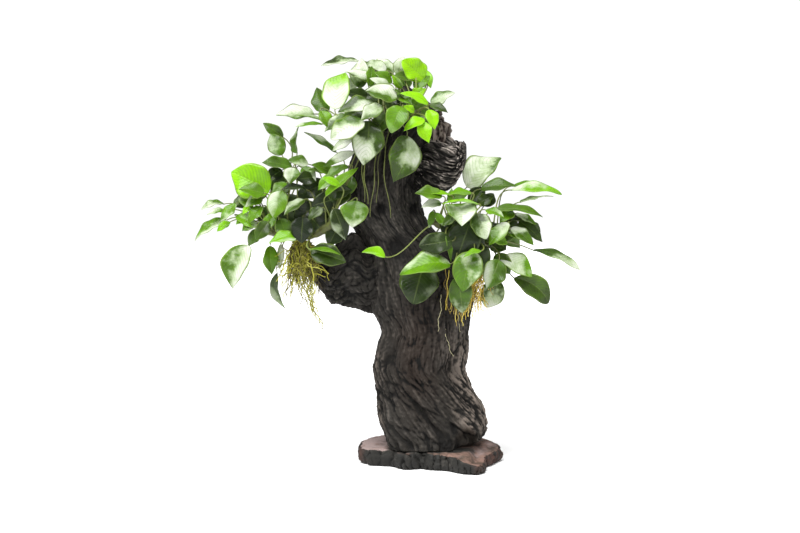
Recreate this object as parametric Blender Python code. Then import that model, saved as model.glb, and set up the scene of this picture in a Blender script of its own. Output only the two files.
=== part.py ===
# Anubias on driftwood: three small plants on an upright piece of wood that stands on a stone slab.
# Run it in Blender 4.5. Lengths in the tables are millimetres, and the finished meshes are in metres.
import math

import bmesh
import bpy
from mathutils import Vector, noise

MM = 0.001
TOUCH_GAP = 0.4  # mm between pieces that touch

# The front view that the tables were measured on
EYE = Vector((-32.0, -1500.0, 274.0))  # mm
EYE_PITCH = math.radians(3)  # looking slightly down
EYE_UP = 193.5  # height on the view of the line through its middle

# Slab: corners of the top going round from the left end, with each corner's height
SLAB_HEIGHT = 17.0
SLAB_RIM = [
    (-72, -13, 16), (-66, -25, 16), (-62, -32, 17), (-52, -34, 17), (-38, -40, 17), (-34, -51, 16),
    (-24, -54, 17), (-12, -50, 16), (-4, -56, 17), (10, -59, 16), (20, -68, 16), (31, -78, 12),
    (42, -80, 9), (48, -72, 8), (50, -57, 9), (53, -41, 11), (60, -27, 13), (69, -7, 12),
    (70, 8, 14), (64, 22, 16), (56, 34, 17), (40, 42, 17), (20, 46, 17), (0, 48, 16),
    (-22, 57, 17), (-47, 58, 17), (-65, 43, 16), (-72, 16, 17),
]
SLAB_TOP_INSET = 0.86  # the flat top beside the rim
SLAB_FOOT_INSET = 0.97
SLAB_BELLY = 1.02
SLAB_INNER_INSET = 0.7  # where the top becomes level
SLAB_CHIP = 0.02
SLAB_CENTRE = Vector((0, -12, 0))

# Trunk: height, left edge, right edge, front edge, back edge
TRUNK = [
    (17.4, -42, 40, -51, 37), (20, -44, 44, -51, 39), (25, -45, 49, -50, 40), (31, -47, 51, -48, 41),
    (37, -50, 53, -46, 41), (46, -54, 52, -44, 42), (56, -55, 49, -43, 42), (66, -56, 44, -42, 41),
    (78, -56, 38, -41, 40),
    (92, -57, 33, -40, 40), (105, -57, 34, -40, 40), (118, -54, 35, -40, 40), (130, -50, 35, -40, 40),
    (142, -54, 36, -41, 41), (152, -60, 38, -42, 41), (168, -64, 42, -42, 42), (185, -66, 40, -42, 42),
    (203, -67, 36, -41, 41), (218, -69, 23, -39, 40), (232, -73, 1, -37, 38), (246, -79, -8, -35, 36),
    (262, -83, -14, -33, 34), (282, -83, -14, -31, 32), (302, -79, -8, -29, 30), (324, -70, -2, -26, 27),
    (343, -58, 2, -22, 22), (357, -46, -4, -16, 16), (368, -37, -16, -9, 9), (375, -31, -24, -4, 4),
]
TRUNK_SIDES = 42
# The foot's outline is squarer than an ellipse: its power at the bottom, and the heights between
# which it eases to the ellipse's 2
FOOT_POWER = 4
FOOT_LOW, FOOT_HIGH = 20, 62
# Ridges of the bark: how many round the wood, how high, how fast they wind
BARK = [(5, 1.5, 0.021, 0.4), (8, 1.2, -0.034, 2.1), (13, 0.9, 0.052, 4.4)]
# Main grooves of the trunk: how many, how deep, how pointed their ribs are, and where between
# the bottom of a groove and the top of a rib the plain wood lies
GROOVES = 10
GROOVE_DEPTH = 3.8
GROOVE_POWER = 0.6
GROOVE_LEVEL = 0.75
# The depth's steady share, the share that comes and goes, how often round, how fast it winds
GROOVE_CHANGE = (0.75, 0.25, 2, 0.04)
# How fast the grain turns with the height, in radians a mm: below the top of the twist, and everywhere
LOW_TWIST = 0.009
TWIST_TOP = 95
HIGH_TWIST = 0.0008
# How the grooves wander: how far, how many times round, how fast it winds, start
WANDER = [(0.14, 2, 0.047, 0.7), (0.1, 3, -0.031, 2.9)]
# Hollow in the trunk's front, under the bulge: x, height, half width, half height, depth
HOLLOW = (33, 19, 12, 17, 27)

# Left limb and burl: place along X, lowest and highest edge, front edge, back edge
LIMB = [
    (-40, 160, 216, -22, 20), (-54, 152, 214, -27, 24), (-64, 152, 212, -30, 26),
    (-72, 155, 224, -32, 27), (-80, 158, 228, -32, 27), (-90, 158, 222, -30, 26),
    (-99, 160, 214, -24, 23), (-107, 166, 212, -17, 19), (-116, 180, 214, -11, 15),
    (-125, 193, 216, -9, 12), (-133, 203, 217, -6, 8), (-138, 209, 214, -3, 4),
]
LIMB_SIDES = 16
BURL = [
    (-28, 284, 308, -12, 10), (-14, 271, 316, -20, 17), (-4, 268, 322, -29, 25), (6, 269, 322, -33, 29),
    (16, 274, 320, -33, 29),
    (24, 280, 319, -29, 26), (29, 288, 318, -24, 20), (32, 294, 318, -17, 14), (34, 300, 317, -10, 8),
]
BURL_SIDES = 20
# Knob on top of the burl: height, left edge, right edge, front edge, back edge
KNOB = [(306, -4, 18, -11, 9), (328, -5, 16, -9, 8), (340, -6, 14, -8, 7), (348, -4, 9, -5, 5)]
KNOB_SIDES = 10

# Creeping stems, on the front view: across, up, near
STEMS = {
    "top": [(-46, 322, 28), (-24, 332, 31), (0, 341, 31), (20, 348, 27)],
    "left": [(-134, 230, 12), (-110, 224, 20), (-86, 226, 30), (-64, 238, 38)],
    "right": [(34, 238, 36), (56, 229, 28), (78, 219, 20), (98, 214, 12)],
}
STEM_RADIUS = 4.2
STEM_SIDES = 8
STEM_STEPS = 6
STALK_RADIUS = 1.1
STALK_SIDES = 5
LEAF_TURN = math.radians(137.5)  # how far round the stem each next leaf grows
LEAF_ROOT_OUT = 1.6
STALK_STEPS = (0.0, 0.42, 0.82, 1.0)
# A stalk leaves the stem on the side towards its leaf, rises, and comes in along the blade
ROOT_LEAN = 0.25
LEAVE_SHARE = 0.35
LEAVE_LIFT = Vector((0, -0.07, 0.168))
ARRIVE_SHARE = 0.3
ARRIVE_EASE = Vector((0, 0.15, 0))

# Hanging roots of the top plant: where each leaves the stem, its middle and its tip
ROOTS = [
    (0.12, (-38, 296, 41), (-35, 258, 41)),
    (0.2, (-36, 294, 43), (-32, 256, 42)),
    (0.36, (-25, 290, 41), (-30, 243, 42)),
    (0.46, (-21, 300, 42), (-23, 257, 42)),
    (0.54, (-16, 296, 43), (-9, 242, 42)),
]
ROOT_RADIUS = 0.9

# Root tufts, on the front view: up, left, right, nearest, farthest
TUFTS = {
    "left_root_tuft": [
        (219, -106, -92, 30, 20), (211, -114, -84, 36, 14), (200, -116, -80, 40, 12),
        (189, -114, -80, 41, 12), (175, -107, -82, 39, 14), (162, -100, -84, 36, 16),
        (148, -95, -84, 32, 18), (130, -79, -75, 26, 20),
    ],
    "right_root_tuft": [
        (209, 72, 80, 27, 19), (203, 66, 84, 32, 14), (190, 58, 86, 38, 14), (175, 51, 86, 46, 20),
        (160, 48, 82, 50, 26), (146, 50, 73, 49, 32), (130, 52, 64, 46, 36), (108, 54, 57, 43, 39),
    ],
}
TUFT_SIDES = 9

# Leaves, on the front view: base (across, up, near), tip, width, the way the blade faces,
# arch along the midrib, fold of the halves, sideways bow
LEAVES = {
    "top_leaf_01": ((24, 381, -4), (3, 400, 4), 25, (0.2, 1, 0.1), 0.05, 0.05, 0),
    "top_leaf_02": ((-40, 372, -4), (-39, 403, -22), 20, (-0.2, 0.9, 0.4), 0.06, 0.08, 0),
    "top_leaf_03": ((-42, 399, -24), (-79, 396, -14), 19, (0, 0.45, 0.9), 0.03, 0.15, 0),
    "top_leaf_04": ((-65, 351, 22), (-55, 388, 2), 30, (-0.25, 0.9, 0.35), 0.05, 0.08, -0.06),
    "top_leaf_05": ((-72, 348, 0), (-84, 373, -16), 18, (-0.4, 0.85, 0.2), 0.06, 0.1, -0.06),
    "top_leaf_06": ((-86, 346, -2), (-124, 345, 8), 24, (0, 0.65, 0.76), 0.06, 0.1, 0),
    "top_leaf_07": ((-37, 340, 54), (-69, 321, 66), 27, (-0.2, 0.85, 0.5), 0.08, 0.1, 0),
    "top_leaf_08": ((-26, 356, 42), (-62, 350, 50), 21, (-0.1, 0.75, 0.66), 0.06, 0.1, 0),
    "top_leaf_09": ((-3, 362, 44), (-34, 370, 50), 25, (0, 0.75, 0.65), 0.06, 0.15, 0),
    "top_leaf_10": ((28, 356, 34), (1, 368, 45), 12, (0.1, 0.8, 0.6), 0.08, 0.15, 0),
    "top_leaf_11": ((29, 350, 44), (35, 331, 51), 14, (0.3, 0.9, 0.2), 0.08, 0.1, 0),
    "top_leaf_12": ((2, 353, 54), (-9, 328, 66), 23, (-0.1, 0.95, 0.3), 0.1, 0.12, 0),
    "top_leaf_13": ((21, 338, 50), (29, 317, 56), 15, (0.1, 1, 0.1), 0.08, 0.1, 0),
    "top_leaf_14": ((31, 356, 13), (55, 368, 14), 18, (-0.1, 0.7, 0.7), 0.06, 0.1, 0),
    "top_leaf_15": ((-31, 339, 50), (-37, 295, 52), 33, (0, 0.95, 0.3), 0.06, 0.06, -0.04),
    "top_leaf_16": ((7, 324, 50), (-7, 278, 50), 32, (0.05, 0.97, 0.25), 0.06, 0.08, -0.1),
    "left_leaf_01": ((-131, 268, 26), (-169, 288, 18), 37, (-0.2, 0.95, 0.25), 0.05, 0.1, 0.03),
    "left_leaf_02": ((-108, 293, 8), (-138, 298, 14), 20, (0, 0.62, 0.78), 0.06, 0.1, 0),
    "left_leaf_03": ((-118, 305, -6), (-130, 327, -16), 19, (-0.1, 0.95, 0.3), 0.05, 0.1, 0),
    "left_leaf_04": ((-117, 323, -24), (-137, 337, -22), 12, (-0.4, 0.8, 0.4), 0.08, 0.1, 0),
    "left_leaf_05": ((-103, 307, -6), (-102, 335, -18), 18, (-0.88, 0.45, 0), 0.05, 0.15, -0.06),
    "left_leaf_06": ((-64, 308, -8), (-96, 328, -2), 14, (0, 0.5, 0.85), 0.04, 0.1, 0),
    "left_leaf_07": ((-74, 264, 48), (-43, 294, 44), 12, (-0.5, 0.75, 0.4), 0.06, 0.5, 0.07),
    "left_leaf_08": ((-43, 259, 54), (-48, 233, 60), 27, (0, 0.95, 0.3), 0.08, 0.1, 0),
    "left_leaf_09": ((-66, 251, 50), (-54, 220, 49), 19, (0.2, 0.95, 0.2), 0.05, 0.1, 0),
    "left_leaf_10": ((-97, 243, 44), (-99, 217, 46), 24, (0, 1, 0), 0.05, 0.1, 0),
    "left_leaf_11": ((-104, 222, 44), (-132, 218, 50), 17, (0.05, 0.65, 0.75), 0.08, 0.15, 0.03),
    "left_leaf_12": ((-152, 215, 30), (-167, 170, 26), 28, (-0.15, 0.97, 0.2), 0.06, 0.08, 0.13),
    "left_leaf_13": ((-130, 214, 22), (-128, 185, 22), 16, (0.4, 0.9, 0), 0.06, 0.1, 0.05),
    "left_leaf_14": ((-123, 187, 14), (-115, 151, 6), 12, (-0.6, 0.8, 0), 0.08, 0.1, 0.14),
    "left_leaf_15": ((-89, 209, 52), (-54, 198, 55), 23, (0, 0.9, 0.4), 0.08, 0.1, 0),
    "left_leaf_16": ((-173, 240, 6), (-206, 220, 12), 17, (-0.2, 0.6, 0.75), 0.13, 0.1, 0),
    "right_leaf_01": ((67, 273, -14), (101, 303, -32), 33, (-0.2, 0.85, 0.5), 0.05, 0.08, -0.08),
    "right_leaf_02": ((81, 271, 2), (120, 274, 8), 20, (0, 0.6, 0.8), 0.07, 0.1, 0),
    "right_leaf_03": ((111, 270, 15), (162, 266, 19), 20, (0, 0.5, 0.85), 0.1, 0.1, 0),
    "right_leaf_04": ((96, 251, 22), (143, 244, 30), 18, (0, 0.45, 0.9), 0.07, 0.1, 0),
    "right_leaf_05": ((61, 256, 42), (62, 235, 66), 31, (0, 0.75, 0.65), 0.08, 0.12, 0),
    "right_leaf_06": ((77, 246, 44), (86, 221, 55), 21, (0, 0.92, 0.4), 0.08, 0.1, 0),
    "right_leaf_07": ((52, 219, 52), (19, 214, 58), 22, (0, 0.95, 0.3), 0.06, 0.06, 0),
    "right_leaf_08": ((50, 196, 54), (0, 188, 66), 28, (0, 0.7, 0.7), 0.12, 0.1, 0),
    "right_leaf_09": ((24, 198, 51), (13, 156, 55), 38, (0, 0.98, 0.2), 0.05, 0.06, 0),
    "right_leaf_10": ((74, 208, 54), (62, 169, 60), 30, (0, 0.93, 0.35), 0.08, 0.12, 0.03),
    "right_leaf_11": ((58, 183, 56), (63, 147, 52), 23, (0, 1, 0), 0.05, 0.08, 0),
    "right_leaf_12": ((98, 180, 20), (86, 152, 16), 24, (0, 1, 0), 0.05, 0.08, 0),
    "right_leaf_13": ((100, 201, 24), (132, 184, 30), 22, (0.1, 0.85, 0.5), 0.07, 0.1, -0.1),
    "right_leaf_14": ((114, 182, 14), (149, 157, 12), 23, (-0.3, 0.9, 0.3), 0.07, 0.08, -0.13),
    "right_leaf_15": ((133, 210, 0), (181, 192, 4), 16, (0, 0.5, 0.87), 0.08, 0.1, 0),
    "right_leaf_16": ((119, 239, 16), (143, 218, 20), 15, (0.3, 0.85, 0.4), 0.06, 0.1, 0),
    "right_leaf_17": ((-15, 203, 53), (-38, 208, 53), 11, (0, 0.8, 0.6), 0.05, 0.6, 0.08),
}
LEAF_STEPS = (0.0, 0.1, 0.28, 0.5, 0.72, 0.89, 1.0)
LEAF_THICK = 1.0
LEAF_END = 0.9  # half width where the stalk joins and at the tip


def clear_scene():
    for thing in list(bpy.data.objects):
        bpy.data.objects.remove(thing, do_unlink=True)


def placed(across, up, near):
    """The point seen at that place on the front view, that far in front of the trunk's middle."""
    slope = (up - EYE_UP) / -EYE.y
    ray = Vector((
        across / -EYE.y,
        math.cos(EYE_PITCH) + slope * math.sin(EYE_PITCH),
        slope * math.cos(EYE_PITCH) - math.sin(EYE_PITCH),
    ))
    return EYE + ray * ((-EYE.y - near) / ray.y)


def material(name, colour, roughness):
    made = bpy.data.materials.new(name)
    made.use_nodes = True
    shader = made.node_tree.nodes["Principled BSDF"]
    shader.inputs["Base Color"].default_value = (*colour, 1)
    shader.inputs["Roughness"].default_value = roughness
    shader.inputs["Metallic"].default_value = 0
    made.diffuse_color = (*colour, 1)
    return made


def add_rings(mesh, rings):
    """One closed body through rings of points, in mm, with a flat cap on each end."""
    loops = [[mesh.verts.new(point * MM) for point in ring] for ring in rings]
    for low, high in zip(loops, loops[1:]):
        for i in range(len(low)):
            j = (i + 1) % len(low)
            mesh.faces.new((low[i], low[j], high[j], high[i]))
    mesh.faces.new(tuple(reversed(loops[0])))
    mesh.faces.new(loops[-1])


def solid(name, bodies, surface, smooth=True):
    """An object of closed bodies, each a list of rings."""
    mesh = bmesh.new()
    for rings in bodies:
        add_rings(mesh, rings)
    bmesh.ops.recalc_face_normals(mesh, faces=mesh.faces)
    bmesh.ops.triangulate(mesh, faces=mesh.faces)
    data = bpy.data.meshes.new(name)
    mesh.to_mesh(data)
    mesh.free()
    if smooth:
        data.shade_smooth()
    data.materials.append(surface)
    made = bpy.data.objects.new(name, data)
    bpy.context.scene.collection.objects.link(made)
    return made


def combine(target, other, operation, overlapping=False):
    change = target.modifiers.new(operation.lower() + "_" + other.name, "BOOLEAN")
    change.operation = operation
    change.solver = "EXACT"
    change.use_self = overlapping
    change.object = other
    other.hide_render = True
    other.display_type = "WIRE"


def clearance_copy(source):
    """A copy that is larger all round by the gap between touching pieces."""
    copy = bpy.data.objects.new(source.name + "_clearance", source.data)
    bpy.context.scene.collection.objects.link(copy)
    grow = copy.modifiers.new("gap", "DISPLACE")
    grow.strength = TOUCH_GAP * MM
    grow.mid_level = 0
    return copy


def bark(angle, distance):
    return sum(
        high * math.sin(count * angle + wind * distance + start) for count, high, wind, start in BARK
    )


def groove(angle, height):
    """The trunk's main grooves: sharp valleys along the turning grain, deeper on some sides."""
    turned = angle + LOW_TWIST * min(height, TWIST_TOP) + HIGH_TWIST * height
    turned += sum(far * math.sin(count * angle + wind * height + start) for far, count, wind, start in WANDER)
    steady, change, count, wind = GROOVE_CHANGE
    depth = GROOVE_DEPTH * (steady + change * math.sin(count * angle + wind * height))
    return depth * (abs(math.sin(GROOVES / 2 * turned)) ** GROOVE_POWER - GROOVE_LEVEL)


def hollow(x, y, height):
    """How far back a point of the trunk's front lies, by depth times e to the minus distance^4."""
    place, middle, wide, high, depth = HOLLOW
    reach = ((x - place) / wide) ** 2 + ((height - middle) / high) ** 2
    return depth * math.exp(-(reach**2)) if y < 0 else 0


def squared(angle, height):
    """How much farther out than the ellipse the foot's outline lies at that angle."""
    t = min(max((height - FOOT_LOW) / (FOOT_HIGH - FOOT_LOW), 0), 1)
    power = FOOT_POWER + (2 - FOOT_POWER) * t * t * (3 - 2 * t)
    return (abs(math.cos(angle)) ** power + abs(math.sin(angle)) ** power) ** (-1 / power)


def upright_ring(row, sides, roughness=1.0, carved=False):
    """A level ring from its height and its four edges, with the bark's ridges."""
    height, left, right, front, back = row
    ring = []
    for i in range(sides):
        angle = 2 * math.pi * i / sides
        ridge = roughness * (bark(angle, height) + (groove(angle, height) if carved else 0))
        out = squared(angle, height) if carved else 1
        x = (left + right) / 2 + ((right - left) / 2 + ridge) * out * math.cos(angle)
        y = (front + back) / 2 + ((back - front) / 2 + ridge) * out * math.sin(angle)
        ring.append(Vector((x, y + (hollow(x, y, height) if carved else 0), height)))
    return ring


def lying_ring(row, sides, roughness=1.0):
    """The same for wood that runs along X."""
    place, low, high, front, back = row
    ring = []
    for i in range(sides):
        angle = 2 * math.pi * i / sides
        ridge = roughness * bark(angle, place)
        y = (front + back) / 2 + ((back - front) / 2 + ridge) * math.cos(angle)
        z = (low + high) / 2 + ((high - low) / 2 + ridge) * math.sin(angle)
        ring.append(Vector((place, y, z)))
    return ring


def shrink_ends(rows, first, last):
    """How much of the ridges each row keeps: less towards a pointed end."""
    count = len(rows)
    return [min(1.0, first + i * 0.5, last + (count - 1 - i) * 0.35) for i in range(count)]


def smooth_path(points, u):
    """The curve through the points at u, from 0 to 1, by cubic pieces."""
    ends = [2 * points[0] - points[1], *points, 2 * points[-1] - points[-2]]
    place = u * (len(points) - 1)
    k = min(int(place), len(points) - 2)
    f = place - k
    a, b, c, d = ends[k:k + 4]
    return 0.5 * (2 * b + (c - a) * f + (2 * a - 5 * b + 4 * c - d) * f**2 + (3 * b - a - 3 * c + d) * f**3)


def tube(path, radii, sides):
    """Rings round a path, each turned from the last by as little as its bend needs."""
    rings = []
    across = None
    for i, point in enumerate(path):
        along = (path[min(i + 1, len(path) - 1)] - path[max(i - 1, 0)]).normalized()
        if across is None:
            across = along.orthogonal()
        across = (across - along * across.dot(along)).normalized()
        other = along.cross(across)
        rings.append([
            point + radii[i] * (
                across * math.cos(2 * math.pi * k / sides) + other * math.sin(2 * math.pi * k / sides)
            )
            for k in range(sides)
        ])
    return rings


def leaf_frame(row):
    base, tip = placed(*row[0]), placed(*row[1])
    length = (tip - base).length
    along = (tip - base) / length
    face = Vector((row[3][0], -row[3][1], row[3][2]))
    normal = (face - along * face.dot(along)).normalized()
    return base, length, along, along.cross(normal), normal


def leaf_width(t):
    """Share of the full width at t: a round base, widest at a third, a drawn-out tip."""
    if t <= 0 or t >= 1:
        return 0.0
    return math.sin(math.pi * t**0.78) ** (0.62 + 0.5 * t)


def leaf_rings(row):
    base, length, along, side, normal = leaf_frame(row)
    width, arch, fold, bow = row[2], row[4], row[5], row[6]
    rings = []
    for t in LEAF_STEPS:
        half = max(width / 2 * leaf_width(t), LEAF_END * (1 - 0.6 * t))
        rise = 4 * t * (1 - t) * length
        middle = base + along * (t * length) + side * (bow * rise) + normal * (arch * rise)
        thick = LEAF_THICK / 2 * (1 - 0.4 * t)
        ring = []
        for s, high in ((-1, 0), (0, -1), (1, 0), (0, 1)):
            lift = fold * half * abs(s) ** 1.6 + high * thick
            ring.append(middle + side * (half * s) + normal * lift)
        rings.append(ring)
    return rings


def stalk_path(row, stem, rank):
    """From the nearest part of the creeping stem to just short of the blade."""
    base, length, along, side, normal = leaf_frame(row)
    along_stem = [smooth_path(stem, 0.07 + 0.86 * i / 59) for i in range(60)]
    middle = sum(along_stem, Vector()) / 60
    wanted = base - (base - middle) * ROOT_LEAN
    root = min(along_stem, key=lambda point: (point - wanted).length)
    root = root + Vector((0, math.cos(LEAF_TURN * rank), math.sin(LEAF_TURN * rank))) * LEAF_ROOT_OUT
    reach = (base - root).length
    leave = root + (base - root) * LEAVE_SHARE + LEAVE_LIFT * reach
    arrive = base - along * (ARRIVE_SHARE * reach) + ARRIVE_EASE * reach
    end = base - along * TOUCH_GAP
    path = []
    for q in STALK_STEPS:
        path.append(
            (1 - q) ** 3 * root + 3 * q * (1 - q) ** 2 * leave + 3 * q**2 * (1 - q) * arrive + q**3 * end
        )
    return path


def slab_rings():
    foot, belly, rim, top = [], [], [], []
    for i, (x, y, z) in enumerate(SLAB_RIM):
        out = Vector((x, y, 0)) - SLAB_CENTRE
        chip = 1 + SLAB_CHIP * noise.noise(Vector((x, y, 3)) * 0.11)
        foot.append(SLAB_CENTRE + out * (SLAB_FOOT_INSET * chip))
        belly.append(SLAB_CENTRE + out * (SLAB_BELLY * chip) + Vector((0, 0, z * 0.5)))
        rim.append(SLAB_CENTRE + out + Vector((0, 0, z - 1.5)))
        top.append(SLAB_CENTRE + out * SLAB_TOP_INSET + Vector((0, 0, min(z + 1, SLAB_HEIGHT))))
    return [foot, belly, rim, top]


def make_base():
    rings = slab_rings()
    centre = SLAB_CENTRE + Vector((0, 0, SLAB_HEIGHT))
    inner = [centre + (Vector((x, y, SLAB_HEIGHT)) - centre) * SLAB_INNER_INSET for x, y, z in SLAB_RIM]
    return solid("base_slab", [rings + [inner]], material("slab_stone", (0.16, 0.11, 0.1), 0.85), False)


def make_wood():
    dark = material("driftwood_dark", (0.035, 0.028, 0.024), 0.75)
    keep = shrink_ends(TRUNK, 0.3, 0.1)
    trunk = solid("trunk", [[upright_ring(r, TRUNK_SIDES, k, True) for r, k in zip(TRUNK, keep)]], dark)
    gap = clearance_copy(trunk)
    keep = shrink_ends(LIMB, 1, 0.2)
    limb = solid(
        "left_limb",
        [[lying_ring(r, LIMB_SIDES, k) for r, k in zip(LIMB, keep)]],
        material("driftwood_limb", (0.04, 0.032, 0.027), 0.75),
    )
    combine(limb, gap, "DIFFERENCE")
    keep = shrink_ends(BURL, 1, 0.2)
    burl = solid(
        "burl",
        [[lying_ring(r, BURL_SIDES, k) for r, k in zip(BURL, keep)]],
        material("driftwood_burl", (0.06, 0.045, 0.038), 0.75),
    )
    knob = solid("knob_body", [[upright_ring(r, KNOB_SIDES, 0.3) for r in KNOB]], dark)
    combine(burl, knob, "UNION")
    combine(burl, gap, "DIFFERENCE")
    return trunk, limb, burl, gap


def make_stem(plant):
    points = [placed(*p) for p in STEMS[plant]]
    path = [smooth_path(points, i / STEM_STEPS) for i in range(STEM_STEPS + 1)]
    radii = [STEM_RADIUS * (0.8 if i in (0, STEM_STEPS) else 1) for i in range(STEM_STEPS + 1)]
    stem = solid(
        plant + "_stem", [tube(path, radii, STEM_SIDES)], material(plant + "_stem_green", (0.13, 0.19, 0.04), 0.6)
    )
    stalks = []
    mine = [row for name, row in LEAVES.items() if name.startswith(plant)]
    for rank, row in enumerate(mine):
        stalk = stalk_path(row, points, rank)
        stalks.append(tube(stalk, [STALK_RADIUS] * len(stalk), STALK_SIDES))
    if plant == "top":
        for start, middle, tip in ROOTS:
            hanging = [smooth_path(points, start), placed(*middle), placed(*tip)]
            path = [smooth_path(hanging, i / 4) for i in range(5)]
            stalks.append(tube(path, [ROOT_RADIUS * (1 - 0.12 * i) for i in range(5)], STALK_SIDES))
    growth = solid(plant + "_stalk_bodies", stalks, stem.data.materials[0])
    combine(stem, growth, "UNION", overlapping=True)
    return stem


def make_tuft(name, rows):
    rings = []
    for i, (up, left, right, nearest, farthest) in enumerate(rows):
        ring = []
        for k in range(TUFT_SIDES):
            angle = 2 * math.pi * k / TUFT_SIDES
            rag = 1 + 0.08 * math.sin(3 * angle + 1.9 * i)
            across = (left + right) / 2 + (right - left) / 2 * rag * math.cos(angle)
            near = (nearest + farthest) / 2 + (nearest - farthest) / 2 * rag * math.sin(angle)
            ring.append(placed(across, up, near))
        rings.append(ring)
    tuft = solid(name, [rings], material(name + "_roots", (0.3, 0.24, 0.05), 0.8))
    if name == "right_root_tuft":
        combine(tuft, trunk_gap, "DIFFERENCE")
    return tuft


clear_scene()
make_base()
trunk, limb, burl, trunk_gap = make_wood()
for plant in STEMS:
    make_stem(plant)
for name, rows in TUFTS.items():
    make_tuft(name, rows)
for name, row in LEAVES.items():
    solid(name, [leaf_rings(row)], material(name + "_green", (0.12, 0.3, 0.04), 0.4))
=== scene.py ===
# Anubias on driftwood, finished: dark bark, a reddish slate slab and three leafy plants with their roots.
# Run it in Blender 4.5 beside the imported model. The tables are in millimetres, places on the front
# view are (across, up, near), and the finished meshes are in metres.
import math

import bpy
import numpy as np
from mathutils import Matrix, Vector


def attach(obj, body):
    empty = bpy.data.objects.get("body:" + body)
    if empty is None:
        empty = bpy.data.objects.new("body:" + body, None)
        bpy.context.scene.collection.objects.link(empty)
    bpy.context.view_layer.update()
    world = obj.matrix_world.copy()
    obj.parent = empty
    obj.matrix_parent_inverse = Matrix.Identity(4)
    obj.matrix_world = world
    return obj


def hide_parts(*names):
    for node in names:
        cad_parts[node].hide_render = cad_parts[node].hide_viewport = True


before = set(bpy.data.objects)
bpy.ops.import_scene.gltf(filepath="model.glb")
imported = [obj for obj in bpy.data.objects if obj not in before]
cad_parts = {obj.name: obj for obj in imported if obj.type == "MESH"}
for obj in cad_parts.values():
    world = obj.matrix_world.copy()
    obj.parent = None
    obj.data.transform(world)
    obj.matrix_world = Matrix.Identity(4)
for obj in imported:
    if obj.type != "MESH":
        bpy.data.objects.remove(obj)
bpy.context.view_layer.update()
print("frame loaded,", len(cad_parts), "nodes")

mm = 0.001

# The front view that the tables are measured on, and the camera
view = {
    "eye": (-32.0, -1500.0, 274.0),
    "pitchDown": 3,  # degrees
    "middleUp": 193.5,  # height on the view of the line through its middle
    "lens": 67.5,
    "sensor": 36,
}


def placed(spot):
    # Point on the ray through (across, up), where it is that far in front of the trunk's middle
    across, up, near = np.moveaxis(np.asarray(spot, float), -1, 0)
    eye = np.array(view["eye"])
    tilt = math.radians(view["pitchDown"])
    slope = (up - view["middleUp"]) / -eye[1]
    ray = np.stack([
        across / -eye[1],
        math.cos(tilt) + slope * math.sin(tilt),
        slope * math.cos(tilt) - math.sin(tilt),
    ], -1)
    return eye + ray * ((-eye[1] - near) / ray[..., 1])[..., None]


def unit(vectors):
    return vectors / np.linalg.norm(vectors, axis=-1, keepdims=True)


def ease(value, low, high):
    # 0 below low, 1 above high, 3t^2 - 2t^3 between
    t = np.clip((value - low) / (high - low), 0, 1)
    return t * t * (3 - 2 * t)


def cornerSlope(cell, seed):
    # Three fixed numbers from -1 to 1 for each whole-number corner, by multiplying and folding bits
    mixed = cell @ np.array([374761393, 668265263, 1103515245]) + seed * 974711
    parts = []
    for step in (1, 2, 3):
        bits = (mixed + step * 362437) & 0x7FFFFFFF
        bits = ((bits ^ (bits >> 13)) * 1274126177) & 0x7FFFFFFF
        bits = ((bits ^ (bits >> 15)) * 1597334677) & 0x7FFFFFFF
        parts.append((bits ^ (bits >> 16)) / 0x3FFFFFFF - 1)
    return np.stack(parts, -1)


def grainNoise(points, seed):
    # Gradient noise: each lattice corner has a slope, and their heights blend by 6t^5 - 15t^4 + 10t^3
    cell = np.floor(points).astype(np.int64)
    part = points - cell
    blend = part**3 * (part * (part * 6 - 15) + 10)
    total = np.zeros(points.shape[:-1])
    for corner in np.ndindex(2, 2, 2):
        corner = np.array(corner)
        weight = np.prod(np.where(corner == 1, blend, 1 - blend), axis=-1)
        total += weight * ((part - corner) * cornerSlope(cell + corner, seed)).sum(-1)
    return total * 1.5


def crackLines(noise, width):
    # 1 along the lines where the noise crosses zero, falling off as a bell of that width
    return np.exp(-((noise / width) ** 2))


def smoothPath(points, u):
    # Catmull-Rom curve through the points, read at each u from 0 to 1
    points = np.asarray(points, float)
    ends = np.vstack([2 * points[0] - points[1], points, 2 * points[-1] - points[-2]])
    place = np.asarray(u, float) * (len(points) - 1)
    k = np.minimum(place.astype(int), len(points) - 2)
    f = (place - k)[..., None]
    a, b, c, d = (ends[k + i] for i in range(4))
    return 0.5 * (2 * b + (c - a) * f + (2 * a - 5 * b + 4 * c - d) * f**2 + (3 * b - a - 3 * c + d) * f**3)


def smoothRows(rows, count):
    # The same curve through the rows, read at even steps of their first column
    fine = smoothPath(rows, np.linspace(0, 1, count * 4))
    first = fine[:, 0] if fine[-1, 0] > fine[0, 0] else -fine[:, 0]
    even = np.linspace(first[0], first[-1], count)
    return np.stack([np.interp(even, first, column) for column in fine.T], -1)


def between(low, high, share):
    # Low at a share of -1, high at 1
    return (low + high) / 2 + (high - low) / 2 * share


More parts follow.
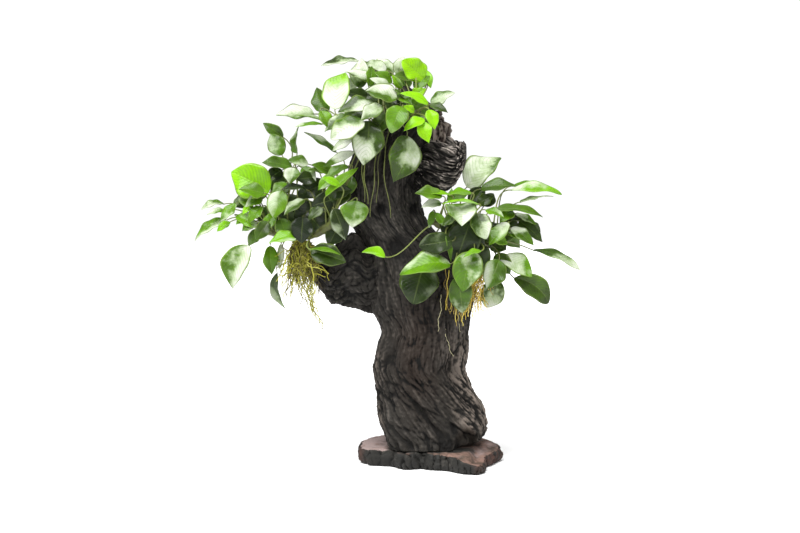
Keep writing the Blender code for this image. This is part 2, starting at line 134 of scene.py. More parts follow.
def closedTube(rings, **values):
    # Quads between neighbouring rings, and a fan to the middle of the first and last ring
    rows, around = rings.shape[:2]
    points = np.concatenate([rings.reshape(-1, 3), rings[:1].mean(1), rings[-1:].mean(1)])
    place = np.arange(around)
    after = np.roll(place, -1)
    low = np.arange(rows - 1)[:, None] * around
    high = low + around
    quads = np.stack([low + place, low + after, high + after, high + place], -1).reshape(-1, 4)
    top = (rows - 1) * around
    fans = np.concatenate([
        np.stack([after, place, np.full(around, rows * around)], -1),
        np.stack([top + place, top + after, np.full(around, rows * around + 1)], -1),
    ])
    a, b, c, d = (points[quads[:, i]] - points.mean(0) for i in range(4))
    volume = (a * (np.cross(b, c) + np.cross(c, d))).sum()
    if volume < 0:
        quads, fans = quads[:, ::-1], fans[:, ::-1]
    spread = {}
    for name, value in values.items():
        value = np.asarray(value, float)
        value = np.broadcast_to(value, (rows, around) + value.shape[2:])
        flat = value.reshape((rows * around,) + value.shape[2:])
        spread[name] = np.concatenate([flat, value[:1].mean(1), value[-1:].mean(1)])
    return {"points": points, "quads": quads, "fans": fans, "values": spread}


def tubesAlong(paths, radii, sides, **values):
    # A ring round every step of every path; each ring is the last one turned as little as its bend needs
    count, steps = paths.shape[:2]
    radii = np.broadcast_to(radii, (count, steps))
    before = np.concatenate([paths[:, :1], paths[:, :-1]], 1)
    behind = np.concatenate([paths[:, 1:], paths[:, -1:]], 1)
    along = unit(behind - before)
    helper = np.where(np.abs(along[:, :1, 1]) < 0.8, (0.0, 1, 0), (1.0, 0, 0))
    across = unit(np.cross(along[:, 0], helper))
    angle = 2 * np.pi * np.arange(sides) / sides
    rings = np.empty((count, steps, sides, 3))
    for i in range(steps):
        across = unit(across - along[:, i] * (across * along[:, i]).sum(-1, keepdims=True))
        other = np.cross(along[:, i], across)
        spoke = across[:, None] * np.cos(angle)[:, None] + other[:, None] * np.sin(angle)[:, None]
        rings[:, i] = paths[:, i, None] + spoke * radii[:, i, None, None]
    blocks = []
    for i in range(count):
        own = {name: value[i] if np.ndim(value) else value for name, value in values.items()}
        blocks.append(closedTube(rings[i], **own))
    return blocks


def addPiece(name, blocks, surface, nodes=()):
    # One mesh of all the blocks, with their values as point attributes and their "uv" as a UV map
    starts = np.cumsum([0] + [len(b["points"]) for b in blocks[:-1]])
    points = np.concatenate([b["points"] for b in blocks])
    quads = np.concatenate([b["quads"] + s for b, s in zip(blocks, starts)])
    fans = np.concatenate([b["fans"] + s for b, s in zip(blocks, starts)])
    mesh = bpy.data.meshes.new(name)
    mesh.from_pydata(points * mm, [], quads.tolist() + fans.tolist())
    mesh.shade_smooth()
    for key in blocks[0]["values"]:
        value = np.concatenate([b["values"][key] for b in blocks]).astype(np.float32)
        if key == "uv":
            corners = np.empty(len(mesh.loops), np.int32)
            mesh.loops.foreach_get("vertex_index", corners)
            mesh.uv_layers.new(name="surfaceUv").data.foreach_set("uv", value[corners].ravel())
        else:
            kind, field = ("FLOAT_VECTOR", "vector") if value.ndim == 2 else ("FLOAT", "value")
            mesh.attributes.new(key, kind, "POINT").data.foreach_set(field, value.ravel())
    mesh.materials.append(surface)
    piece = bpy.data.objects.new(name, mesh)
    bpy.context.scene.collection.objects.link(piece)
    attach(piece, "root")
    if nodes:
        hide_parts(*nodes)


def startMaterial(name):
    made = bpy.data.materials.new(name)
    made.use_nodes = True
    return made, made.node_tree, made.node_tree.nodes["Principled BSDF"]


def put(tree, kind, sockets=None, **settings):
    # A node with its settings; a socket's value is a number, a colour or the output that feeds it
    node = tree.nodes.new("ShaderNode" + kind)
    for name, value in settings.items():
        setattr(node, name, value)
    for key, value in (sockets or {}).items():
        if isinstance(value, bpy.types.NodeSocket):
            tree.links.new(value, node.inputs[key])
        else:
            node.inputs[key].default_value = value
    return node


def attribute(tree, name, output="Fac"):
    return put(tree, "Attribute", attribute_name=name).outputs[output]


def objectPlace(tree):
    return put(tree, "TexCoord").outputs["Object"]


def rampOf(tree, value, stops):
    node = put(tree, "ValToRGB", {0: value})
    band = node.color_ramp
    for i, (place, colour) in enumerate(stops):
        stop = band.elements[i] if i < 2 else band.elements.new(place)
        stop.position = place
        stop.color = (*colour, 1)
    return node.outputs[0]


def blendColour(tree, share, first, second, way="MIX"):
    first = (*first, 1) if isinstance(first, tuple) else first
    second = (*second, 1) if isinstance(second, tuple) else second
    node = put(tree, "Mix", {0: share, 6: first, 7: second}, data_type="RGBA", blend_type=way)
    return node.outputs[2]


def reckon(tree, way, *values):
    return put(tree, "Math", dict(enumerate(values)), operation=way).outputs[0]


def plus(tree, first, second):
    return reckon(tree, "ADD", first, second)


def times(tree, first, second):
    return reckon(tree, "MULTIPLY", first, second)


def scaled(tree, value, factor, start):
    return reckon(tree, "MULTIPLY_ADD", value, factor, start)


def spanned(tree, value, low, high, start=0.0, stop=1.0):
    # Start at low and stop at high, by a smooth step between them
    sockets = {0: value, 1: low, 2: high, 3: start, 4: stop}
    return put(tree, "MapRange", sockets, interpolation_type="SMOOTHSTEP").outputs[0]


def patches(tree, where, scale, detail, roughness):
    sockets = {"Vector": where, "Scale": scale, "Detail": detail, "Roughness": roughness}
    return put(tree, "TexNoise", sockets).outputs[0]


def dress(tree, shader, colour, roughness, shine, height, strength, distance):
    # The links and values that every surface has; distance is the bump's height in metres
    tree.links.new(colour, shader.inputs["Base Color"])
    tree.links.new(roughness, shader.inputs["Roughness"])
    shader.inputs["Specular IOR Level"].default_value = shine
    bump = put(tree, "Bump", {"Strength": strength, "Distance": distance, "Height": height})
    tree.links.new(bump.outputs[0], shader.inputs["Normal"])


# Slab of slate
slab = {
    "height": 17.0,
    "centre": (0, -12),
    "rim": [
        (-72, -13, 16), (-66, -25, 16), (-62, -32, 17), (-52, -34, 17), (-38, -40, 17), (-34, -51, 16),
        (-24, -54, 17), (-12, -50, 16), (-4, -56, 17), (10, -59, 16), (20, -68, 16), (31, -78, 12),
        (42, -80, 9), (48, -72, 8), (50, -57, 9), (53, -41, 11), (60, -27, 13), (69, -7, 12),
        (70, 8, 14), (64, 22, 16), (56, 34, 17), (40, 42, 17), (20, 46, 17), (0, 48, 16),
        (-22, 57, 17), (-47, 58, 17), (-65, 43, 16), (-72, 16, 17),
    ],
    "around": 420,
    # Share of the rim's reach, share of its height, how much of the chipping it has, 1 on the top
    "profile": [
        (0.93, 0.0, 0.0, 0), (0.965, 0.01, 0.5, 0), (0.985, 0.12, 1, 0), (1.005, 0.3, 1, 0),
        (1.01, 0.5, 1, 0), (1.0, 0.7, 1, 0), (0.99, 0.86, 0.9, 0.1), (0.965, 0.97, 0.5, 0.7),
        (0.9, 1.02, 0.2, 1), (0.8, 1.05, 0, 1), (0.6, 1.06, 0, 1), (0.3, 1.06, 0, 1),
        (0.05, 1.06, 0, 1),
    ],
    "rows": 84,
    "topFrom": (0.86, 0.7),  # the shares of the reach between which the top rises to its full height
    "foot": (-1, -7, 41, 44),  # the wood's foot on it: middle and half widths
    "shadeReach": 7,  # how far the shade round the foot goes
    # How far the rim moves out by its layers, chips, splits and grit, and at all
    "chipping": (1.4, 2.9, -3.4, 0.8, 0.2),
    "lumps": (0.7, 0.5, -0.7),  # heights of the top's wide and small lumps and of its cracks
    "highestLump": 0.5,
    "crack": (0.003, 0.003, 0.0025),
    "deepSide": (0.006, 0.006, 0.005),
    "darkSide": (0.018, 0.017, 0.0145),
    "paleSide": (0.07, 0.064, 0.056),
    "redSide": (0.075, 0.035, 0.026),
    "redTop": (0.19, 0.115, 0.09),
    "brownTop": (0.06, 0.04, 0.028),
    "paleTop": (0.25, 0.19, 0.178),
}


def slateSurface():
    # Dark flakes on the side, reddish towards both ends, darker in the cracks; the top is red with
    # brown flakes and paler on the left, and goes over into the side along a ragged edge
    made, tree, shader = startMaterial("slate")
    where = objectPlace(tree)
    flakes = patches(tree, where, 90, 8, 0.65)
    stains = patches(tree, where, 30, 5, 0.6)
    across = put(tree, "SeparateXYZ", {0: where}).outputs[0]
    across = plus(tree, across, scaled(tree, stains, 0.03, -0.015))
    stops = [(0.3, slab["deepSide"]), (0.55, slab["darkSide"]), (0.8, slab["paleSide"])]
    side = rampOf(tree, flakes, stops)
    rightEnd = spanned(tree, across, 0.035, 0.055)
    leftEnd = spanned(tree, across, -0.06, -0.072)
    ends = times(tree, reckon(tree, "MAXIMUM", rightEnd, leftEnd), spanned(tree, flakes, 0.35, 0.6))
    side = blendColour(tree, times(tree, ends, 0.75), side, slab["redSide"])
    side = blendColour(tree, times(tree, attribute(tree, "groove"), 0.8), side, slab["crack"])
    top = blendColour(tree, spanned(tree, flakes, 0.62, 0.36), slab["redTop"], slab["brownTop"])
    pale = scaled(tree, spanned(tree, across, -0.02, -0.05), 0.24, stains)
    top = blendColour(tree, spanned(tree, pale, 0.56, 0.76), top, slab["paleTop"])
    top = blendColour(tree, attribute(tree, "shaded"), top, side)
    edge = plus(tree, attribute(tree, "topSide"), scaled(tree, flakes, 0.9, -0.45))
    colour = blendColour(tree, spanned(tree, edge, 0.4, 0.65), side, top)
    dress(tree, shader, colour, spanned(tree, flakes, 0.3, 0.7, 0.62, 0.9), 0.3, flakes, 0.7, 0.0012)
    return made


def makeSlab():
    # Rings round the rim's corners: reach times the profile's share, pushed out by the chips,
    # height times its share; the top has shallow lumps
    corners = np.array(slab["rim"], float)
    loop = np.vstack([corners, corners, corners])
    u = (len(corners) + np.arange(slab["around"]) / slab["around"] * len(corners)) / (len(loop) - 1)
    rim = smoothPath(loop, u)
    centre = np.array([*slab["centre"], 0.0])
    profile = smoothRows([(i, *row) for i, row in enumerate(slab["profile"])], slab["rows"])[:, 1:]
    reach, rise, chipped, topSide = profile.T[:, :, None]
    out = rim[:, :2] - centre[:2]
    flat = centre[:2] + out * reach[..., None]
    height = np.clip(rim[:, 2] * rise, 0, slab["height"])
    start, full = slab["topFrom"]
    height = height + (slab["height"] - height) * ease(-reach, -start, -full)
    spot = np.concatenate([flat, height[..., None]], -1)
    layers = grainNoise(spot / (13, 13, 5), 3)
    chips = grainNoise(spot / (6.5, 6.5, 17), 5)
    splits = crackLines(grainNoise(spot / (8, 8, 22), 8), 0.08)
    parts = (layers, chips, splits, grainNoise(spot / 2.3, 11), 1)
    push = chipped * sum(far * noise for far, noise in zip(slab["chipping"], parts))
    flat = flat + unit(out) * push[..., None]
    height = height * (1 + chipped * (0.09 * grainNoise(spot / (7, 7, 40), 14) - 0.16 * splits))
    cracks = crackLines(grainNoise(spot / (26, 12, 9), 23), 0.07)
    lumps = (grainNoise(spot / 17, 21), grainNoise(spot / 6, 22), cracks)
    lumps = sum(high * noise for high, noise in zip(slab["lumps"], lumps))
    height = height + topSide * np.minimum(lumps, slab["highestLump"])
    rings = np.concatenate([flat, np.maximum(height, 0)[..., None]], -1)
    x, y, wide, deep = slab["foot"]
    apart = (((flat[..., 0] - x) / wide) ** 4 + ((flat[..., 1] - y) / deep) ** 4) ** 0.25 * wide - wide
    inFront = 0.15 + 0.85 * ease(-flat[..., 1], 18, 32)
    shaded = (1 - ease(apart + 2 * chips, 0, slab["shadeReach"])) * inFront
    groove = np.clip(0.8 * splits - 0.5 * chips, 0, 1) * np.minimum(1, chipped * 1.2)
    block = closedTube(rings, topSide=np.broadcast_to(topSide, height.shape), shaded=shaded, groove=groove)
    addPiece("slateSlab", [block], slateSurface(), ["base_slab"])


# Driftwood: the rows are (place, two edges across, front, back), those of the solids, but the knob's
# top is a little slimmer. A lying body runs sideways, the others upwards. "keep" is the share of the
# ridges at the first and last row, "turn" how fast the grain turns with the distance, in radians a
# millimetre, and "fullGirth" the share of the greatest girth below which the grain draws together.
wood = {
    # Ridges: (count, high, wind, start)
    "ridges": [(5, 1.5, 0.021, 0.4), (8, 1.2, -0.034, 2.1), (13, 0.9, 0.052, 4.4)],
    "threads": (6, 22),  # cells round and stretch along, of the place that the colour's threads read
    "shine": 0.22,
    "dry": (0.2, 0.163, 0.136),
    "blotch": (0.012, 0.01, 0.008),
}
trunk = {
    "rows": [
        (17.4, -42, 40, -51, 37), (20, -44, 44, -51, 39), (25, -45, 49, -50, 40),
        (31, -47, 51, -48, 41), (37, -50, 53, -46, 41), (46, -54, 52, -44, 42), (56, -55, 49, -43, 42),
        (66, -56, 44, -42, 41), (78, -56, 38, -41, 40), (92, -57, 33, -40, 40), (105, -57, 34, -40, 40),
        (118, -54, 35, -40, 40), (130, -50, 35, -40, 40), (142, -54, 36, -41, 41),
        (152, -60, 38, -42, 41), (168, -64, 42, -42, 42), (185, -66, 40, -42, 42),
        (203, -67, 36, -41, 41), (218, -69, 23, -39, 40), (232, -73, 1, -37, 38),
        (246, -79, -8, -35, 36), (262, -83, -14, -33, 34), (282, -83, -14, -31, 32),
        (302, -79, -8, -29, 30), (324, -70, -2, -26, 27), (343, -58, 2, -22, 22),
        (357, -46, -4, -16, 16), (368, -37, -16, -9, 9), (375, -31, -24, -4, 4),
    ],
    "grid": (300, 300), "keep": (0.3, 0.1), "turn": 0.0008, "fullGirth": 0.6, "seed": 0,
    "lowTurn": (0.009, 95),  # how much faster the grain turns below this height
    # The main grooves, and how they wander: (far, times round, winding, start)
    "grooves": {"count": 10, "deep": 3.8, "power": 0.6, "level": 0.75, "change": (0.75, 0.25, 2, 0.04)},
    "wander": [(0.14, 2, 0.047, 0.7), (0.1, 3, -0.031, 2.9)],
    "foot": {"power": 4, "low": 20, "high": 62},  # squarer than an ellipse at the bottom
    # Dents in the front: x, z, half width, half height, depth, how much darker as painted shade; below 0,
    # as for the deep hollow, lighter as painted light against its shadow
    "dents": [
        (-51, 253, 4.5, 6, 6, 0.6), (-19, 253, 4, 6.5, 5, 0.6), (33, 19, 12, 17, 27, -0.45),
        (-36, 214, 9, 12, 4, 0.5),
    ],
    "warmPatch": (-14, 24, 112, 60),  # its middle x and half width, middle z and half height
    # Pale wood: the bulge at the lower right and the left edge, each between these x and heights
    "paleBulge": {"across": (12, 40), "low": (24, 40), "high": (75, 150)},
    "paleEdge": {"across": (42, 52), "high": (100, 125), "share": 0.35},
    "colours": {
        "deep": (0.003, 0.0028, 0.0024), "middle": (0.018, 0.016, 0.013), "crest": (0.066, 0.057, 0.047),
        "warm": (0.025, 0.0145, 0.0098), "crestFrom": 0.62,
    },
}
limb = {
    "rows": [
        (-40, 160, 216, -22, 20), (-54, 152, 214, -27, 24), (-64, 152, 212, -30, 26),
        (-72, 155, 224, -32, 27), (-80, 158, 228, -32, 27), (-90, 158, 222, -30, 26),
        (-99, 160, 214, -24, 23), (-107, 166, 212, -17, 19), (-116, 180, 214, -11, 15),
        (-125, 193, 216, -9, 12), (-133, 203, 217, -6, 8), (-138, 209, 214, -3, 4),
    ],
    "grid": (130, 190), "keep": (1.0, 0.2), "turn": 0.012, "fullGirth": 0.85, "lying": True, "seed": 40,
    # Layers of bark: cells round, stretch along the grain, width of cracks or 0 for plain noise,
    # height in millimetres and lightness; the cracks' lightness below 0 is painted shade in them. They are
    # lumps, cracks both ways, threads, hairs and grains
    "layers": [
        (2.4, 15, 0, 1.9, 0.15), (3.6, 24, 0.09, -2.2, -0.5), (3.8, 8, 0.08, -1.5, -0.35),
        (13, 16, 0, 0.9, 0.28), (28, 7, 0, 0.5, 0.2), (12, 3, 0, 0.8, 0.3),
    ],
    "level": (0.8, 0.55),  # height and lightness before the layers
    "colours": {
        "deep": (0.003, 0.0028, 0.0024), "middle": (0.018, 0.016, 0.013), "crest": (0.07, 0.06, 0.05),
        "warm": (0.05, 0.022, 0.014), "crestFrom": 0.62,
    },
}
burl = {
    "rows": [
        (-28, 284, 308, -12, 10), (-14, 271, 316, -20, 17), (-4, 268, 322, -29, 25),
        (6, 269, 322, -33, 29), (16, 274, 320, -33, 29), (24, 280, 319, -29, 26),
        (29, 288, 318, -24, 20), (32, 294, 318, -17, 14), (34, 300, 317, -10, 8),
    ],
    "grid": (110, 260), "keep": (1.0, 0.2), "turn": -0.019, "fullGirth": 0.85, "lying": True, "seed": 60,
    # As the limb's layers: narrow cracks, threads, hairs, lumps and grains
    "layers": [
        (9.0, 32, 0.13, -1.7, -0.42), (15, 20, 0, 1.1, 0.42), (28, 8, 0, 0.5, 0.3), (2.6, 11, 0, 1.5, 0.0),
        (15, 3, 0, 0.8, 0.25),
    ],
    "level": (1.0, 0.5),
    "calmEnd": (27, 33, 0.6),  # between these x its relief gets calmer, by this share
    "calmTo": 0.45,
    # Painted shade on the burl: darker below these heights, and inwards of these x
    "shadeBelow": (271, 288, 0.22),  # darker below these heights, and inwards of these x
    "shadeInward": (-8, 10, 0.16),
    "colours": {
        "deep": (0.004, 0.0037, 0.003), "middle": (0.05, 0.044, 0.038), "crest": (0.52, 0.45, 0.4),
        "warm": (0.05, 0.022, 0.014), "crestFrom": 0.5,
    },
}
knob = {
    "rows": [
        (306, -4, 18, -11, 9), (322, -4, 14.5, -10, 9), (333, -4, 15, -9, 8), (337, -3, 13.5, -8, 7),
        (341, 1, 9.5, -6, 5), (351, 3, 9, -4, 4),
    ],
    "grid": (60, 80), "keep": (0.4, 0.3), "turn": 0.004, "fullGirth": 0.6, "seed": 84,
    "lighter": 0.15, "warmth": 0.6, "faded": 0.75,
}


def driftwoodSurface(name, deep, middle, crest, warm, crestFrom):
    # Colour by the relief and threads of noise along the grain: dark in the cracks as painted shade, pale
    # on the crests as painted highlight, warm or pale by place, with dark blotches
    made, tree, shader = startMaterial(name)
    threads = patches(tree, attribute(tree, "grain", "Vector"), 4.2, 7, 0.62)
    blotches = patches(tree, objectPlace(tree), 34, 4, 0.6)
    height = plus(tree, attribute(tree, "relief"), scaled(tree, threads, 0.7, -0.35))
    colour = rampOf(tree, height, [(0.15, deep), (0.45, middle), (crestFrom, middle), (0.95, crest)])
    colour = blendColour(tree, times(tree, attribute(tree, "warmth"), 0.6), colour, warm)
    dry = times(tree, attribute(tree, "faded"), spanned(tree, height, 0.3, 0.75))
    colour = blendColour(tree, dry, colour, wood["dry"])
    # The lowest relief goes on to the darkest colour, more painted shade in the cracks
    colour = blendColour(tree, spanned(tree, height, 0.3, 0.08), colour, deep)
    colour = blendColour(tree, spanned(tree, blotches, 0.4, 0.7, 0.0, 0.5), colour, wood["blotch"])
    roughness = spanned(tree, height, 0.2, 0.9, 0.85, 0.58)
    dress(tree, shader, colour, roughness, wood["shine"], threads, 0.85, 0.0011)
    return made


def woodRows(rows, count, first, last):
    # The rows made smooth, with the share of the ridges that each keeps near pointed ends
    steps = len(rows)
    keep = [min(1.0, first + i * 0.5, last + (steps - 1 - i) * 0.35) for i in range(steps)]
    return smoothRows([(*row, k) for row, k in zip(rows, keep)], count)


def grainPlace(angle, along, cells, stretch):
    # Noise place that runs along the grain: a circle of that many cells' radius, less where the wood
    # narrows to a point, drawn out lengthways; along holds the distance and that share
    distance, girth = along
    cells = cells * girth
    return np.stack([np.cos(angle) * cells, np.sin(angle) * cells, distance / stretch + 0 * angle], -1)


def plateEdges(points, width, seed):
    # One scattered point in each lattice cell: 1 where the two nearest are equally far, falling off
    # as a bell, and a fixed number from -1 to 1 for the nearest, the height of its plate
    cell = np.floor(points).astype(np.int64)
    nearest = np.full(points.shape[:-1], 9.0)
    second, level = nearest.copy(), np.zeros_like(nearest)
    for corner in np.ndindex(3, 3, 3):
        home = cell + np.array(corner) - 1
        shift = cornerSlope(home, seed)
        far = np.linalg.norm(points - home - 0.5 - 0.42 * shift, axis=-1)
        second = np.minimum(second, np.maximum(nearest, far))
        level = np.where(far < nearest, shift[..., 0], level)
        nearest = np.minimum(nearest, far)
    return np.exp(-(((second - nearest) / width) ** 2)), level


def groove(angle, turned, height):
    # Sharp valleys along the turning grain: depth times (|sin(half the count times the turned angle)|
    # to a power, less the level); the angle wanders by sines, and some sides are deeper
    made = trunk["grooves"]
    for far, count, wind, start in trunk["wander"]:
        turned = turned + far * np.sin(count * angle + wind * height + start)
    steady, change, count, wind = made["change"]
    depth = made["deep"] * (steady + change * np.sin(count * angle + wind * height))
    return depth * (np.abs(np.sin(made["count"] / 2 * turned)) ** made["power"] - made["level"])


def squared(angle, height):
    # How much farther out than the ellipse the foot lies: (|cos|^n + |sin|^n)^(-1/n)
    made = trunk["foot"]
    n = made["power"] + (2 - made["power"]) * ease(height, made["low"], made["high"])
    return (np.abs(np.cos(angle)) ** n + np.abs(np.sin(angle)) ** n) ** (-1 / n)


def grainTurn(body, place):
    # How far the grain turns round the wood: with the distance, and faster up to some height
    faster, top = body.get("lowTurn", (0, 0))
    return faster * np.minimum(place, top) + body["turn"] * place


def woodBody(body, detail):
    # Ellipse from the row's edges, its radii raised by the ridges (high times the sine of count times
    # angle plus wind times distance) and by the detail, which follows the turned angle of the grain
    count, around = body["grid"]
    place, low, high, front, back, keep = woodRows(body["rows"], count, *body["keep"]).T[:, :, None]
    angle = (2 * np.pi * np.arange(around) / around)[None, :]
    ridge = keep * sum(
        h * np.sin(n * angle + wind * place + start) for n, h, wind, start in wood["ridges"]
    )
    grainAngle = angle + grainTurn(body, place)
    outward = 1.0
    if "grooves" in body:
        ridge = ridge + keep * groove(angle, grainAngle, place)
        outward = squared(angle, place)
    size = np.sqrt((high - low) * (back - front))
    along = (place, np.minimum(1, size / (body["fullGirth"] * size.max())))
    fine, relief = detail(grainAngle, along, body["seed"])
    raised = ridge + fine * np.clip(keep, 0.25, 1)
    across = (low + high) / 2, (high - low) / 2 + raised
    deep = (front + back) / 2, (back - front) / 2 + raised
    if body.get("lying"):
        rings = [place, deep[0] + deep[1] * np.cos(angle), across[0] + across[1] * np.sin(angle)]
    else:
        x = across[0] + across[1] * outward * np.cos(angle)
        rings = [x, deep[0] + deep[1] * outward * np.sin(angle), place]
    rings = np.stack(np.broadcast_arrays(*rings), -1)
    return rings, relief, grainPlace(grainAngle, along, *wood["threads"])


def trunkDetail(angle, along, seed):
    # Straight fibres along the grain, slanting cracks that break the lower part into plates of
    # differing height, lumps, and grains of a few millimetres over all
    height = along[0]
    lower = 1 - ease(height, 85, 135)
    sway = 0.05 * grainNoise(grainPlace(angle, along, 2.5, 26), seed + 8)
    slant = angle + 0.003 * np.minimum(height, trunk["lowTurn"][1]) + sway
    patchy = ease(grainNoise(grainPlace(angle, along, 2.6, 26), seed + 9), -0.3, 0.15)
    edges, level = plateEdges(grainPlace(slant, along, 3.5, 25), 0.11, seed + 2)
    plates = edges * np.maximum(lower, 0.35) * (0.35 + 0.65 * patchy)
    long = crackLines(grainNoise(grainPlace(slant, along, 3.8, 40), seed + 4), 0.06)
    fibres = 0.5 - 1.6 * np.abs(grainNoise(grainPlace(angle + sway, along, 10, 44), seed + 3))
    threads = grainNoise(grainPlace(angle + sway, along, 22, 26), seed + 5)
    hairs = grainNoise(grainPlace(angle, along, 34, 9), seed + 6)
    lumps = grainNoise(grainPlace(angle, along, 4.6, 11), seed + 7) * (0.5 + 0.6 * lower)
    lumps = lumps + 0.9 * level * lower * patchy
    grains = grainNoise(grainPlace(angle, along, 17, 2.6), seed + 10)
    fine = 1.2 * lumps - 2.4 * plates - 1.5 * long + 1.0 * fibres + 0.9 * threads + 0.5 * hairs
    fine = fine + 0.8 * grains + 0.5
    # Lightness: darker along the plates' edges and the long cracks, as painted shade
    relief = 0.53 - 0.55 * plates - 0.4 * long + 0.28 * fibres + 0.36 * threads + 0.22 * hairs
    return fine, relief + 0.36 * grains + 0.1 * lumps


def barkLayers(angle, along, body, seed):
    # Sum of the body's layers of noise, as height and as lightness; a layer with a crack width counts
    # where its noise crosses zero
    fine, relief = body["level"]
    for cells, stretch, width, high, light in body["layers"]:
        noise = grainNoise(grainPlace(angle, along, cells, stretch), seed)
        if width:
            noise = crackLines(noise, width)
        fine, relief, seed = fine + high * noise, relief + light * noise, seed + 1
    return fine, relief


def burlDetail(angle, along, seed):
    # Swirled ridges: folded noise drawn out round the burl, with the burl's layers on them
    swirl = grainPlace(angle, along, 5.2, 46)
    swirl = swirl + 0.7 * grainNoise(grainPlace(angle, along, 1.8, 14), seed + 1)[..., None]
    folds = grainNoise(swirl, seed + 2)
    wide = crackLines(folds, 0.12)
    fine, relief = barkLayers(angle, along, burl, seed + 3)
    # Lightness: lighter on the folded ridges and darker in their fold lines, as painted highlight and
    # painted shade
    return fine + 1.7 * np.abs(folds) - 2.6 * wide, relief + 0.3 * np.abs(folds) - 0.5 * wide


def limbDetail(angle, along, seed):
    # Lumps, short cracks and grains, darker and rougher than the trunk
    return barkLayers(angle, along, limb, seed + 1)


def dented(rings, relief):
    # Front points inside each dent's ellipse go back by its depth times exp(-d^4), and darken as painted
    # shade, or lighten as painted light where that value is below 0
    x, y, z = np.moveaxis(rings, -1, 0)
    for place, height, wide, high, depth, darker in trunk["dents"]:
        reach = ((x - place) / wide) ** 2 + ((z - height) / high) ** 2
        share = np.exp(-(reach**2)) * (y < 0)
        rings[..., 1] += share * depth
        relief = relief - darker * share
    return rings, relief


def barkWarmth(rings):
    # Warm brown in the middle of the trunk's front, a share that fades to its sides
    x, y, z = np.moveaxis(rings, -1, 0)
    middleX, wide, middleZ, high = trunk["warmPatch"]
    return np.exp(-(((x - middleX) / wide) ** 2) - ((z - middleZ) / high) ** 2) * ease(-y, -5, 20)


def barkFaded(rings):
    # Paler, drier wood: on the bulge at the lower right, up the right side, and along the left edge
    x, z = rings[..., 0], rings[..., 2]
    bulge, edge = trunk["paleBulge"], trunk["paleEdge"]
    onBulge = ease(x + 0.25 * (z - 60), *bulge["across"]) * (1 - ease(z, *bulge["high"]))
    onBulge = onBulge * ease(z, *bulge["low"])
    return np.maximum(onBulge, edge["share"] * ease(-x, *edge["across"]) * (1 - ease(z, *edge["high"])))


def burlShade(rings, relief):
    # Calmer towards its right end, and darker low down and inwards as painted shade
    x, z = rings[..., 0], rings[..., 2]
    start, stop, share = burl["calmEnd"]
    steady = burl["calmTo"]
    relief = steady + (relief - steady) * (1 - share * ease(x, start, stop))
    for where, (start, stop, darker) in ((z, burl["shadeBelow"]), (x, burl["shadeInward"])):
        relief = relief - darker * (1 - ease(where, start, stop))
    return relief


def makeWood():
    bark = driftwoodSurface("bark", **trunk["colours"])
    trunkRings, relief, grain = woodBody(trunk, trunkDetail)
    trunkRings, relief = dented(trunkRings, relief)
    warmth, faded = barkWarmth(trunkRings), barkFaded(trunkRings)
    block = closedTube(trunkRings, grain=grain, relief=relief, warmth=warmth, faded=faded)
    addPiece("trunkBark", [block], bark, ["trunk"])

    dark = driftwoodSurface("darkBark", **limb["colours"])
    rings, relief, grain = woodBody(limb, limbDetail)
    block = closedTube(rings, grain=grain, relief=relief, warmth=0.0, faded=0.0)
    addPiece("limbBark", [block], dark, ["left_limb"])

    swirled = driftwoodSurface("burlBark", **burl["colours"])
    rings, relief, grain = woodBody(burl, burlDetail)
    burlBlock = closedTube(rings, grain=grain, relief=burlShade(rings, relief), warmth=0.0, faded=0.0)
    rings, relief, grain = woodBody(knob, burlDetail)
    relief = relief + knob["lighter"]
    knobBlock = closedTube(rings, grain=grain, relief=relief, warmth=knob["warmth"], faded=knob["faded"])
    addPiece("burlBark", [burlBlock, knobBlock], swirled, ["burl"])
    return trunkRings
